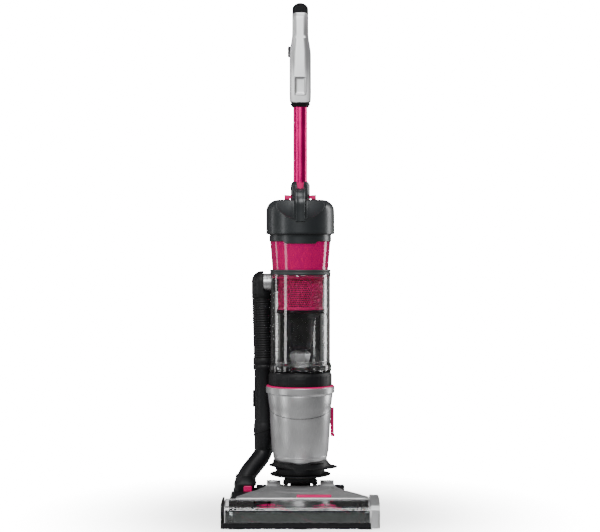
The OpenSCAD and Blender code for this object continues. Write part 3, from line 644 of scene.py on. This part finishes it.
seal_low, seal_high = corners("seal_ring")
SEAL_R = seal_high.x
band = [(26, seal_low.z), (SEAL_R, seal_low.z), (SEAL_R, seal_low.z + 3.2), (SEAL_R - 0.9, seal_low.z + 4),
        (SEAL_R - 0.9, seal_high.z - 4), (SEAL_R, seal_high.z - 3.2), (SEAL_R, seal_high.z), (26, seal_high.z)]
piece("seal_band", lathe(rounded(band, 0.7, 3)), "seal_ring")


def cyclones():
    """A ring of upright tubes that shows through the tinted shell."""
    low, high = seal_high.z + 1, CYCLONE_TOP - 2
    wall = rounded([(7.5, low), (9.5, low), (10.6, high), (8.5, high)], 0.5, 2)
    return joined([lathe(wall, center, 28) for center in arc((0, 0), 46, [30 * k - 75 for k in range(12)])])


piece("cyclone_tubes", cyclones(), like="shroud", sharp=30)
BIN_R, BIN_TOP = corners("bin_shell")[1].x, corners("bin_shell")[1].z


def bead(radius, z, thick):
    """A round bead that runs about the centre line."""
    return lathe([(radius + u, z + v) for u, v in circle(thick, 12)])


base_low, base_high = corners("bin_base")
LIP_R = base_high.x


def bin_floor():
    """The clear floor with its lip and the fins on its right."""
    rim = lathe(rounded([(0, base_low.z), (LIP_R, base_low.z), (LIP_R, 304.5), (LIP_R - 1.2, 306), (BIN_R, 309),
                         (BIN_R - 3, 309), (BIN_R - 3, base_low.z + 4), (0, base_low.z + 4)], 0.9, 3))
    outline = [(24, base_low.z + 4.2), (44, base_low.z + 4.2), (44, 318), (38, 334), (30, 340), (24, 340)]
    fins = []
    for at in (radial(-12), radial(12), radial(36)):
        fins.append(loft([[at(reach, side, z) for reach, z in outline] for side in (-1, 1)]))
    return joined([rim, *fins])


piece("bin_floor", bin_floor(), "bin_base", sharp=30)


def bin_dome():
    """The frosted six-sided dome in the middle of the floor."""
    dome = []
    for radius, z in ((18, base_low.z + 4.2), (18, 309), (21.5, 324), (21.5, 326), (14, 333.5), (6, 334.5)):
        dome.append([(x, y, z) for x, y in arc((0, 0), radius, range(-60, 300, 60))])
    return loft(dome)


piece("bin_dome", bin_dome(), like="bin_base", slot="silver", bevel=0.6, sharp=30)
beads = joined([bead(BIN_R - 0.3, BIN_TOP - 2.6, 1.3), bead(BIN_R - 0.3, 311.5, 1.2)])
piece("bin_rim_beads", beads, like="bin_shell")


def screen():
    """The shroud: a fine slanting lattice with a real hole in each cell, between plain pink bands."""
    low, high = 423.5, 481.0
    around, rows, hole_r = 72, 14, 0.33
    hole = arc((0.5, 0.5), hole_r, [45 * k + 22.5 for k in range(8)])
    verts, faces = [], []

    def point(u, v):
        """u counts cells round the shroud, v counts rows; the lattice slants by half a cell each row."""
        z = low + (high - low) * v / rows
        radius = 45.9 + 2.0 * v / rows
        a = math.tau * (u + v * 0.5) / around
        return (radius * math.sin(a), -radius * math.cos(a), z)

    for row in range(rows):
        for column in range(around):
            start = len(verts)
            verts += [point(column + u, row + v) for u, v in rect(0, 0, 1, 1) + hole]
            # The hole's eight corners meet the cell's four sides
            for side in range(4):
                a, b = start + side, start + (side + 1) % 4
                first = start + 4 + (side * 2 + 5) % 8
                second = start + 4 + (side * 2 + 6) % 8
                third = start + 4 + (side * 2 + 7) % 8
                faces += [(a, b, second, first), (b, third, second)]
    return verts, faces


piece("shroud_screen", screen(), "shroud", sharp=60)
thick = bpy.data.objects["shroud_screen"].modifiers.new("thick", "SOLIDIFY")
thick.thickness = 1.1 * MM
thick.offset = -1
upper_band = rounded([(44, 481), (48.2, 481), (48.2, 482.2), (58.6, 483), (58.6, 489.8), (44, 489.8)], 0.6, 3)
lower_band = rounded([(43.6, 417.4), (46.9, 417.4), (47.1, 423.6), (43.6, 423.6)], 0.9, 4)
piece("shroud_bands", joined([lathe(upper_band), lathe(lower_band)]), like="shroud")

latch_low, latch_high = corners("latch_ring")
LATCH_R = 65.5


def latch():
    """The black ring under the bin, with shallow upright facets."""
    def facet(x, y, z):
        if latch_low.z + 2 < z < latch_high.z - 6:
            turn = math.degrees(math.atan2(x, -y)) % 15
            keep = 1 - 0.012 * smooth(1 - abs(turn - 7.5) / 1.6)
            return (x * keep, y * keep, z)
        return (x, y, z)
    outline = [(58, latch_low.z), (LATCH_R, latch_low.z), (LATCH_R, 283), (62.4, latch_high.z), (58, latch_high.z)]
    return lathe(rounded(outline, 1.2, 4), segments=240, shape=facet)


piece("latch_band", latch(), "latch_ring", sharp=50)


def button():
    """A curved button with a dished face."""
    low, high = corners("bin_button")
    rows = [(0.0, 0), (0.5, 0.12), (0.9, 0.3), (0.2, 0.5), (0.9, 0.7), (0.5, 0.88), (0.0, 1)]
    rings = []
    for i in range(17):
        x = low.x + (high.x - low.x) * i / 16
        edge = smooth(min(i, 16 - i) / 2.5)
        front = [(x, -math.sqrt((LATCH_R - 0.1 + out * edge) ** 2 - x * x), low.z + (high.z - low.z) * up)
                 for out, up in rows]
        back = [(x, -math.sqrt(60.5 ** 2 - x * x), z) for z in (high.z, low.z)]
        rings.append(front + back)
    return loft(rings)


piece("bin_catch_button", button(), "bin_button", sharp=40)
ring_low, ring_high = corners("cup_ring")
band = [(58, ring_low.z), (ring_high.x, ring_low.z), (ring_high.x, ring_high.z - 1),
        (ring_high.x - 3.6, ring_high.z), (58, ring_high.z)]
piece("pink_band", lathe(rounded(band, 1.3, 5)), "cup_ring")

# ---------------------------------------------------------------- motor housing and skirt

cup_low, cup_high = corners("motor_cup")
RIM_R = ring_high.x
RIM_BOTTOM = cup_high.z - 9.5
GROOVE_Z = 216


def tilted_groove(x, y, z):
    """Lowers the groove at the housing's front, so that it reads as a smile."""
    near = smooth(1 - abs(z - GROOVE_Z) / 32)
    return (x, y, z + 0.29 * y * near)


def groove(radius, z, depth=2.8, half=1.0):
    """A narrow, deep groove in a (radius, height) outline, with a soft upper lip."""
    return [(radius - 0.5, z - half - 1.6), (radius - 0.6, z - half), (radius - depth, z - half),
            (radius - depth, z + half), (radius + 0.3, z + half), (radius + 0.35, z + half + 0.5),
            (radius + 0.1, z + half + 2.2)]


CUP_WALL = [(50, cup_low.z + 0.4), (51.6, cup_low.z + 2), (54, 108), (55.8, 113.4), (56.6, 117), (56.3, 117.8),
            (58.7, 127), (60.2, 150), (61.6, 175), (62.3, 190)]
CUP_WALL += groove(63.6, GROOVE_Z) + [(65.2, 227), (67.2, 243), (66.8, 244), (67.5, 245.2), (RIM_R, RIM_BOTTOM),
                                      (RIM_R + 0.9, RIM_BOTTOM + 1), (RIM_R + 0.9, cup_high.z + 2.6),
                                      (RIM_R + 0.3, cup_high.z + 3.4), (RIM_R - 0.6, cup_high.z + 3),
                                      (RIM_R - 1, cup_high.z)]
CUP_INSIDE = [(62, cup_high.z), (62, 245), (58, 190), (55, 127), (50, 110), (46, 106), (26, 106), (26, cup_low.z + 0.4)]
cup = piece("motor_housing", lathe(CUP_WALL + CUP_INSIDE, segments=192, shape=tilted_groove), "motor_cup", sharp=28)
slots = []
for at in (radial(57), radial(123)):
    for k in range(7):
        outline = rounded(rect(-13, 136.8 + 9 * k, 13, 141.2 + 9 * k), 2, 3)
        slots.append(loft([[at(reach, u, z) for u, z in outline] for reach in (40, 80)]))
carve(cup, joined(slots))
hook_low, hook_high = corners("cord_hook")
HOOK_Y, HOOK_Z = 34, 182
boss = axle(rounded(rect(5.4, 52, 8, 61.2), 0.8, 3), HOOK_Y, HOOK_Z)
piece("hook_boss", boss, like="motor_cup")


def hook():
    """A flat hook with softened edges, a pivot and a turned-out toe."""
    low, high = hook_low.z, hook_high.z
    outline = rounded([(HOOK_Y - 12, low), (HOOK_Y + 4, low), (HOOK_Y + 10, low + 18), (HOOK_Y + 10, high - 16),
                       (HOOK_Y + 2, high), (HOOK_Y - 12, high), (HOOK_Y - 7, HOOK_Z)], 5, 4)
    x = hook_low.x + 12.2
    toe = rounded(rect(HOOK_Y - 12, low, HOOK_Y + 4, low + 4.4), 1.6, 3)
    pin = [(0, hook_low.x), (4.94, hook_low.x), (4.94, x + 3.6), (3.4, x + 4.2), (0, x + 4.2)]
    pivot = axle(rounded(pin, 0.4, 2), HOOK_Y, HOOK_Z)
    return joined([prism(outline, "x", x - 1.8, x + 5), prism(toe, "x", x + 2, hook_high.x), pivot])


piece("cord_hook_body", hook(), "cord_hook", bevel=0.5)
skirt_low, skirt_high = corners("base_skirt")
SKIRT_R, SKIRT_TIP = 51.6, 77


def skirt_flange(x, y, z):
    """The flange is widest at the sides, more so on the right, and fades out in front and behind."""
    radius = math.hypot(x, y)
    if radius > SKIRT_R and z < 103:
        side = SKIRT_TIP - 12 * smooth(-x / 40)
        reach = 1 / math.hypot(x / radius / side, y / radius / (SKIRT_R + 0.4))
        new = SKIRT_R + (radius - SKIRT_R) * (reach - SKIRT_R) / (SKIRT_TIP - SKIRT_R)
        x, y, z = x * new / radius, y * new / radius, z + 3.5 * smooth(-x / 50) * smooth((radius - SKIRT_R) / 10)
    return (x, min(skirt_high.y, max(skirt_low.y, y)), z)


curl = [(56.6 + (SKIRT_TIP - 56.6) * k / 10, 93.4 + 12 * (1 - k / 10) ** 2.6) for k in range(10, -1, -1)]
outline = ([(24.2, skirt_low.z), (48.6, skirt_low.z), (50, skirt_low.z + 1.2), (50.6, 86), (51.4, 89.4), (51.6, 90.8),
            (56, 91.4), (SKIRT_TIP - 0.4, 92.2)] + curl + [(55.4, 107.8), (54.7, 107.8), (50.5, 103), (24.2, 103)])
piece("skirt_body", lathe(outline, segments=160, shape=skirt_flange), "base_skirt", sharp=40)

# ---------------------------------------------------------------- hose, elbow and pipe

cuff_low, cuff_high = corners("hose_cuff")
PIPE = ((cuff_low.x + cuff_high.x) / 2, (cuff_low.y + cuff_high.y) / 2)
HOSE_BOTTOM, HOSE_TOP = corners("suction_hose")[0].z, corners("suction_hose")[1].z
HOSE_R = 21.5
RIBS = 25


def ribbed_hose():
    """Soft round ribs; the hose leans out as it rises."""
    pitch = (HOSE_TOP - HOSE_BOTTOM) / RIBS
    rib = ((0.02, -1.1), (0.12, -0.7), (0.26, -0.2), (0.42, 0), (0.6, 0), (0.76, -0.2), (0.9, -0.7), (0.98, -1.1))
    profile = [(HOSE_R + out, HOSE_BOTTOM + pitch * (i + up)) for i in range(RIBS) for up, out in rib]
    outline = [(HOSE_R - 4, HOSE_BOTTOM)] + profile + [(HOSE_R - 4, HOSE_TOP)]
    lean = math.tan(math.radians(1.6))
    return lathe(outline, (PIPE[0] + 0.4, PIPE[1]), 72, lambda x, y, z: (x - lean * (z - HOSE_BOTTOM), y, z))


piece("ribbed_hose", ribbed_hose(), "suction_hose", sharp=50)
PIPE_R = 19.6


def cuff():
    """Collar at the top, plain pipe, a bulge with a slanting seam, and the end over the lower hose."""
    seam = [(PIPE_R + 1.7, 158), (PIPE_R + 1.7, 160), (PIPE_R + 0.7, 160.6), (PIPE_R + 0.7, 161.4), (PIPE_R + 1.7, 162),
            (PIPE_R + 1.7, 164)]
    foot = [(16.6, cuff_low.z), (PIPE_R - 0.6, cuff_low.z), (PIPE_R, cuff_low.z + 0.8), (PIPE_R, 146),
            (PIPE_R + 0.5, 149), (PIPE_R + 1.6, 151.5)]
    collar = [(PIPE_R + 1.7, 174), (PIPE_R + 0.5, 177.5), (PIPE_R, 180), (PIPE_R, 286), (PIPE_R + 0.7, 289),
              (HOSE_R + 0.6, 292), (HOSE_R + 0.6, 300), (HOSE_R + 0.1, 300.6), (HOSE_R + 0.6, 301.2),
              (HOSE_R + 0.6, cuff_high.z - 2), (HOSE_R - 0.4, cuff_high.z), (16.6, cuff_high.z)]

    def slant(x, y, z):
        return (x, y, z + 0.3 * (x - PIPE[0]) * smooth(1 - abs(z - 161) / 11))
    return lathe(foot + seam + collar, PIPE, 96, slant)


piece("pipe_and_cuff", cuff(), "hose_cuff", sharp=40)
elbow_low, elbow_high = corners("hose_elbow")
ELBOW_R = 22


def elbow():
    """A short upright sleeve with a domed top and a flat mouth on its inner side."""
    top = elbow_high.z - ELBOW_R
    dome = arc((0, top), ELBOW_R, range(0, 91, 6))
    outline = [(ELBOW_R - 3, elbow_low.z), (ELBOW_R - 0.6, elbow_low.z), (ELBOW_R, elbow_low.z + 0.8), (ELBOW_R, 446),
               (ELBOW_R - 0.7, 446.8), (ELBOW_R, 447.6), (ELBOW_R, 453), (ELBOW_R, 462)]
    outline += dome[:-1] + [(0.2, elbow_high.z), (0.2, elbow_high.z - 3)]
    outline += [(r - 3 if r > 4 else 1.2, z - 2) for r, z in dome[-3::-1]] + [(ELBOW_R - 3, 460)]
    mouth = corners("inlet_connector")[0].x - 0.3
    return lathe(outline, (elbow_low.x + ELBOW_R, PIPE[1]), 96,
                 lambda x, y, z: (min(x, mouth) if z > 454 else x, y, z))


piece("elbow_body", elbow(), "hose_elbow", sharp=40)
hose_low, hose_high = corners("lower_hose")
AXLE_Y, AXLE_Z = 20, 26
DUCT_X = corners("duct_drum")[0].x + 25


def lower_hose():
    """The smooth hose that swings out from the pipe to the duct beside the left wheel."""
    path = []
    for i in range(61):
        t = i / 60
        path.append((DUCT_X + (PIPE[0] - DUCT_X) * smooth(t), AXLE_Y + (PIPE[1] - AXLE_Y) * smooth(t),
                     hose_low.z + (hose_high.z - hose_low.z) * t))
    return sweep(path, lambda t: circle(19 + 0.5 * smooth(1 - t / 0.12) + 0.35 * smooth((t - 0.93) / 0.04), 56))


hose = piece("lower_hose_tube", lower_hose(), "lower_hose", sharp=50, riding=False)
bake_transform(hose)


def duct_boot():
    """The drum beside the wheel and the flared boot that holds the hose above it."""
    low, high = corners("duct_drum")
    drum = axle(rounded([(17, low.x), (20, low.x), (20, high.x), (17, high.x)], 0.9, 3), AXLE_Y, AXLE_Z)
    rings = []
    for z, spread in ((36, 0.55), (46, 0.8), (53.6, 1), (55.2, 1.02), (56.4, 0.98), (58.5, 0.8), (61, 0.55), (64, 0.3),
                      (68, 0.12), (71, 0.04), (73, 0)):
        ring = []
        left, right = DUCT_X - 20.4 - 3.4 * spread, DUCT_X + 20.4 + (2.2 if z > 53 else -4.2) * spread
        front, back = AXLE_Y - 20.4 - 3.5 * spread, AXLE_Y + 20.4
        for k in range(64):
            c, s = math.cos(math.tau * k / 64), math.sin(math.tau * k / 64)
            power = 1 - 0.45 * spread
            u, v = math.copysign(abs(c) ** power, c), math.copysign(abs(s) ** power, s)
            ring.append(((left + right) / 2 + u * (right - left) / 2, (front + back) / 2 + v * (back - front) / 2, z))
        rings.append(ring)
    return joined([drum, loft(rings)])


piece("duct_boot", duct_boot(), "duct_drum", sharp=40)


def press_button():
    """A raised button with three grip ridges across it."""
    low, high = corners("duct_button")
    rings = []
    for inset, y in ((0, high.y), (0, low.y + 0.2), (0.5, low.y - 0.6), (1.4, low.y - 1.1), (3.4, low.y - 0.5)):
        outline = rounded(rect(low.x + inset, low.z + inset, high.x - inset, high.z - inset), max(1, 3 - inset), 4)
        rings.append([(x, y, z) for x, z in outline])
    ridges = [block((low.x + 4.4, low.y - 1.3, z - 0.6), (high.x - 4.4, low.y, z + 0.6)) for z in (41.5, 45, 48.5)]
    return joined([loft(rings), *ridges])


piece("duct_button_body", press_button(), "duct_button", sharp=30)

# ---------------------------------------------------------------- yoke and wheels

DISC_R = corners("yoke")[1].x
EAR_IN = 41


def claw(side):
    """A small hooked claw below the yoke's block."""
    outline = [(side * x, z) for x, z in ((29, 63), (35.5, 63), (35.5, 60), (27, 55.5), (25, 58))]
    return prism(rounded(outline, 0.8, 3), "y", -24, 24)


def spoke(x, angle):
    """A flat bar from hub to rim, beside the wheel's face."""
    c, s = math.cos(angle), math.sin(angle)
    return loft([[(x + h, AXLE_Y + u * c - v * s, AXLE_Z + u * s + v * c) for u, v in rect(8.5, -1.2, 18.5, 1.2)]
                 for h in (0, 1.6)])


outline = [(18, 71.5), (33, 71.5), (DISC_R, 77.2), (DISC_R, 79), (24, 79), (24, 96), (18, 96)]
disc = lathe(rounded(outline, 0.7, 3), segments=144)
neck = prism(rounded([(-19, 72), (26, 72), (34, 40), (34, 22), (8, 16), (-8, 44)], 6, 4), "x", -21, 21)
pivot = axle(rounded(rect(5.1, 3 - EAR_IN, 15, EAR_IN - 3), 1.2, 3), AXLE_Y, AXLE_Z)
head_block = round_box((-33, -26, 61), (33, 28, 72), 5)
piece("yoke_body", joined([disc, neck, pivot, head_block, claw(-1), claw(1)]), "yoke", bevel=0.8)

for wheel_node in ("left_wheel", "right_wheel"):
    low, high = corners(wheel_node)
    radius, middle, half = (high.z - low.z) / 2, (low.x + high.x) / 2, (high.x - low.x) / 2
    face = [(5.1, 1 - half), (9, -half), (9, 3 - half), (18, 3 - half), (20, -half), (radius - 2.6, -half),
            (radius - 0.7, 0.8 - half), (radius, 2.6 - half)]
    line = list(face)
    for k in range(4):
        u = -half + 5.2 + 3.4 * k
        line += [(radius, u - 0.7), (radius - 0.8, u - 0.4), (radius - 0.8, u + 0.4), (radius, u + 0.7)]
    line += [(r, -x) for r, x in face[::-1]]
    tread = axle([(r, middle + x) for r, x in line], AXLE_Y, AXLE_Z, 72)
    sides = (middle - half + 1.4, middle + half - 3)
    spokes = [spoke(x, math.tau * k / 5) for k in range(5) for x in sides]
    piece(f"{wheel_node}_tyre", joined([tread, *spokes]), wheel_node, sharp=30)

# ---------------------------------------------------------------- floor head

cover_low, cover_high = corners("head_cover")
COVER_FRONT = cover_low.y
LEFT_TIP, RIGHT_TIP = cover_low.x, cover_high.x
EAR_OUT = 69
COLLAR = Vector((0, 6))
COLLAR_R = 46
plan = rounded([(-EAR_OUT, 30), (-EAR_OUT, -12), (-71, -36), (-90, -72), (LEFT_TIP, -124), (LEFT_TIP, COVER_FRONT),
                (RIGHT_TIP, COVER_FRONT), (RIGHT_TIP, -124), (90, -72), (71, -36), (EAR_OUT, -12), (EAR_OUT, 30)], 7, 4)


def cover_height(x, y):
    """Rises to the back, with a flat collar round the neck that ends in a step, falling wings and a lip in front."""
    reach = math.hypot(x, y - COLLAR.y)
    steps = 1.6 * (1 - smooth((reach - 84) / 5)) - 1.2 * smooth((reach - 108) / 3) * smooth((134 - reach) / 20)
    wing = -3.2 * smooth((abs(x) - 62) / 62) * smooth((y + 158) / 50)
    line = 66 + 0.42 * (-60 - y)
    crease = -1.3 * smooth(1 - abs(abs(x) - line) / 5) * smooth((-44 - y) / 14) * smooth((y + 156) / 12)
    lip = 0.7 * smooth((COVER_FRONT + 6 - y) / 3)
    return 54.2 + 3.1 * smooth((y + 138) / 60) + steps + wing + crease + lip


def cover_section(angle):
    """One slice of the cover from the collar out to its edge and back along its underside."""
    edge = ray(plan, COLLAR, angle)
    out = (edge - COLLAR).length
    way = (edge - COLLAR).normalized()
    close = [COLLAR_R + d for d in (0, 0.7, 1.8, 3.5, 5)]
    radii = close + [close[-1] + (out - 1.6 - close[-1]) * k / 46 for k in range(1, 47)]

    def top(radius):
        p = COLLAR + way * radius
        return cover_height(p.x, p.y)
    rim, wall = top(COLLAR_R), 2.4
    foot = 20 + 27 * smooth((-edge.y - 150) / 8)
    line = [(COLLAR_R, rim - 7)] + [(COLLAR_R, rim - 0.8)] + [(r, top(r)) for r in radii[1:]]
    last = line[-1][1]
    line += [(out - 0.7, last - 0.35), (out - 0.15, last - 1), (out, last - 2.2), (out, foot), (out - wall, foot),
             (out - wall, last - 5)]
    line += [(max(r, COLLAR_R + wall), top(r) - wall) for r in radii[:0:-1]] + [(COLLAR_R + wall, rim - 7)]
    return [(COLLAR.x + way.x * r, COLLAR.y + way.y * r, z) for r, z in line]


FAN_START, FAN_END, SLICES = -165.3, -14.7, 150
fan = [math.radians(FAN_START + (FAN_END - FAN_START) * k / SLICES) for k in range(SLICES + 1)]
piece("cover_body", loft([cover_section(angle) for angle in fan]), "head_cover", sharp=50)
ears = []
outline = rounded([(-48, 52), (-31, 64), (-4, 66), (36, 48.4), (38, 44.7), (-12, 44.7), (-14, 46)], 5, 4)
for x in (-55, 55):
    ears.append(prism(outline, "x", x - 13.9, x + 13.9))
    ears.append(round_box((x - 9, -24, 64.4), (x + 9, -8, 66), 3))
piece("cover_ears", joined(ears), like="head_cover", bevel=1.8, steps=3, sharp=50)

hood_low, hood_high = corners("clear_hood")


def hood_outline(inset):
    """The hood's outer face in side view, from its foot over the rounded top to its back edge."""
    nose = arc((12 + hood_low.y, 34), 12 - inset, range(180, 109, -5))
    return [(inset + hood_low.y, hood_low.z)] + nose + [(hood_high.y, hood_high.z - inset)]


shell = hood_outline(0)[:6] + hood_outline(2.5)[5::-1]
piece("hood_shell", prism(shell, "x", hood_low.x, hood_high.x), "clear_hood", sharp=50)
top = hood_outline(0)[5:] + hood_outline(2.5)[:4:-1]
piece("hood_top", prism(top, "x", hood_low.x, hood_high.x), like="clear_hood", slot="clear", sharp=50)
window = hood_outline(-0.7)[:3] + hood_outline(0.3)[2::-1]
piece("hood_window", prism(window, "x", -131, 125), like="clear_hood", sharp=50)
bar = hood_outline(-0.8)[3:6] + hood_outline(0.5)[5:2:-1]
piece("hood_bar", prism(bar, "x", -134, 127), like="clear_hood", slot="black", sharp=50)
rim = hood_outline(-0.9) + hood_outline(3.2)[::-1]
back_bar = block((hood_low.x, hood_high.y - 2.2, hood_high.z - 2.6),
                 (hood_high.x, hood_high.y + 0.6, hood_high.z + 0.5))
frame_bars = [prism(rim, "x", hood_low.x, hood_low.x + 2.2), prism(rim, "x", hood_high.x - 2.2, hood_high.x), back_bar]
piece("hood_edges", joined(frame_bars), like="head_cover", bevel=0.5, sharp=50)
bumper_low, bumper_high = corners("front_bumper")
front, foot, top = bumper_low.y, bumper_low.z, bumper_high.z
strip = [(bumper_high.y, foot), (front + 0.8, foot), (front, foot + 2.4), (front, top - 3), (front + 0.6, top - 2.4),
         (front + 0.6, top - 1.4), (front, top - 0.8), (front, top), (bumper_high.y, top)]
piece("bumper_strip", prism(rounded(strip, 0.5, 2), "x", bumper_low.x, bumper_high.x), "front_bumper", sharp=40)
end_low, end_high = corners("right_end_cap")
side_view = [(end_low.y, 3.2), (end_low.y, 34)] + arc((14 + end_low.y, 35), 14, range(174, 109, -8))
side_view += [(-168, 55.5), (-128, 56), (-112, 44), (-104, 20), (-104, 2.4)]
lid = rounded([(y, max(z, 36)) for y, z in side_view[1:-2]], 1, 2)
piece("end_cap_shell", joined([prism(rounded(side_view, 3, 3), "x", end_high.x - 3, end_high.x),
                               prism(lid, "x", end_low.x, end_high.x - 3),
                               block((end_low.x, end_low.y, 3.2), (end_high.x - 2, end_low.y + 3, 38))]),
      "right_end_cap", bevel=2.2, steps=4, sharp=45)

strip_low, strip_high = corners("trim_strip")
badge = [(strip_low.y - 3.4, strip_low.z - 0.6), (strip_low.y - 3.4, strip_low.z + 2),
         (strip_high.y, strip_high.z + 2.6), (strip_high.y, strip_low.z)]
piece("trim_badge", prism(rounded(badge, 0.7, 3), "x", strip_low.x, strip_high.x), "trim_strip", bevel=0.4, sharp=50)

# ---------------------------------------------------------------- brush bar

core_low, core_high = corners("brush_core")
BRUSH_Y, BRUSH_Z = (core_low.y + core_high.y) / 2, (core_low.z + core_high.z) / 2
TIP_R, ROOT_R = 21.4, 13
HALF_TURN = 110


def on_brush(x, angle, radius):
    """A point on a cylinder about the brush's axis."""
    return (x, BRUSH_Y + radius * math.cos(angle), BRUSH_Z + radius * math.sin(angle))


def helix(x, row):
    """The angle of a row of bristles at x."""
    return math.pi * (x + 55 + HALF_TURN * row) / HALF_TURN + math.pi / 2


def bristles():
    """Two helical rows of tufts, each a small bundle of fine hairs that spread a little."""
    rng = random.Random(7)
    tufts, hairs = 52, 7
    verts, faces = [], []
    for row in range(2):
        for i in range(tufts):
            x0 = -122 + 4.3 * i
            for _ in range(hairs):
                x, a = x0 + rng.uniform(-1.5, 1.5), helix(x0, row) + rng.uniform(-0.1, 0.1)
                tip_x, tip_a = x + rng.uniform(-0.8, 0.8), a + rng.uniform(-0.06, 0.06)
                tip_r = TIP_R - rng.uniform(0, 0.8)
                start = len(verts)
                for u, v in ((-0.5, 0), (0, 0.035), (0.5, 0), (0, -0.035)):
                    verts.append(on_brush(x + u, a + v, ROOT_R))
                for u, v in ((-0.35, 0), (0, 0.02), (0.35, 0), (0, -0.02)):
                    verts.append(on_brush(tip_x + u, tip_a + v, tip_r))
                faces += [(start + k, start + (k + 1) % 4, start + 4 + (k + 1) % 4, start + 4 + k) for k in range(4)]
                faces.append((start + 4, start + 5, start + 6, start + 7))
    return verts, faces


piece("bristle_rows", bristles(), "brush_bristles", sharp=30)


def core():
    """The brush's core with its journals and a low helical rib under each row of bristles."""
    line = [(0, core_low.x), (3.94, core_low.x), (3.94, -128.4), (13.6, -128), (14, -127), (14, 107), (13.6, 108),
            (3.94, 108.4), (3.94, core_high.x), (0, core_high.x)]
    rib = ((-0.24, 13.4), (-0.16, 15.2), (0.16, 15.2), (0.24, 13.4))
    parts = [axle(rounded(line, 0.4, 2), BRUSH_Y, BRUSH_Z)]
    for row in range(2):
        stations = [-124 + 2.15 * i for i in range(107)]
        parts.append(loft([[on_brush(x, helix(x, row) + a, radius) for a, radius in rib] for x in stations]))
    return joined(parts)


piece("brush_core_body", core(), "brush_core", sharp=40)

# ---------------------------------------------------------------- inlet, tabs and CAD edges

inlet_low = corners("inlet_connector")[0]
INLET_Y, INLET_Z = 43, 473
stub = [(11.6, inlet_low.x), (17.6, inlet_low.x), (18.6, inlet_low.x + 1), (18.6, -70), (18, -69.4), (18.6, -68.8),
        (18.6, -58), (16, -56), (16, -46), (11.6, -46)]
piece("inlet_stub", axle(stub, INLET_Y, INLET_Z, 72), "inlet_connector", slot="silver", sharp=40)
turns = [200 - 4.5 * k for k in range(17)]
outline = rounded(arc((0, 0), 59, turns) + arc((0, 0), 51, turns[::-1]), 1, 1)
piece("inlet_guide", prism(outline, "z", 455, 482), like="inlet_connector", slot="black", bevel=0.5, sharp=50)
for side, tab_node in ((-1, "left_tab"), (1, "right_tab")):
    low, high = corners(tab_node)
    inner, outer = (high.x, low.x) if side < 0 else (low.x, high.x)
    x0, x1 = sorted((outer - side * 2, inner))
    stem = block((x0, low.y + 0.6, low.z + 0.4), (x1, high.y - 0.6, high.z - 0.4))
    x0, x1 = sorted((outer - side * 1, inner + side * 4))
    bar = round_box((x0, low.y, low.z - 1.2), (x1, high.y, high.z + 0.6), 1.6, "x")
    x0, x1 = sorted((outer, outer - side * 2.4))
    tip = round_box((x0, low.y - 0.6, low.z - 1.8), (x1, high.y, high.z + 1.2), 1.6, "x")
    piece(f"{tab_node}_key", joined([stem, bar, tip]), tab_node, bevel=0.6, sharp=50)

SOFT_EDGES = {"spine": 0.8, "tube_socket": 0.8, "sole_plate": 0.5, "suction_duct": 0.5, "cord_clip": 0.6}
for cad_name, width in SOFT_EDGES.items():
    cad = frame["nodes"][cad_name]
    weld = cad.modifiers.new("weld", "WELD")
    weld.merge_threshold = 0.01 * MM
    edge = cad.modifiers.new("edge", "BEVEL")
    edge.width = width * MM
    edge.segments = 2
    edge.limit_method = "ANGLE"
    edge.angle_limit = math.radians(40)
    edge.use_clamp_overlap = True

low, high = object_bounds()
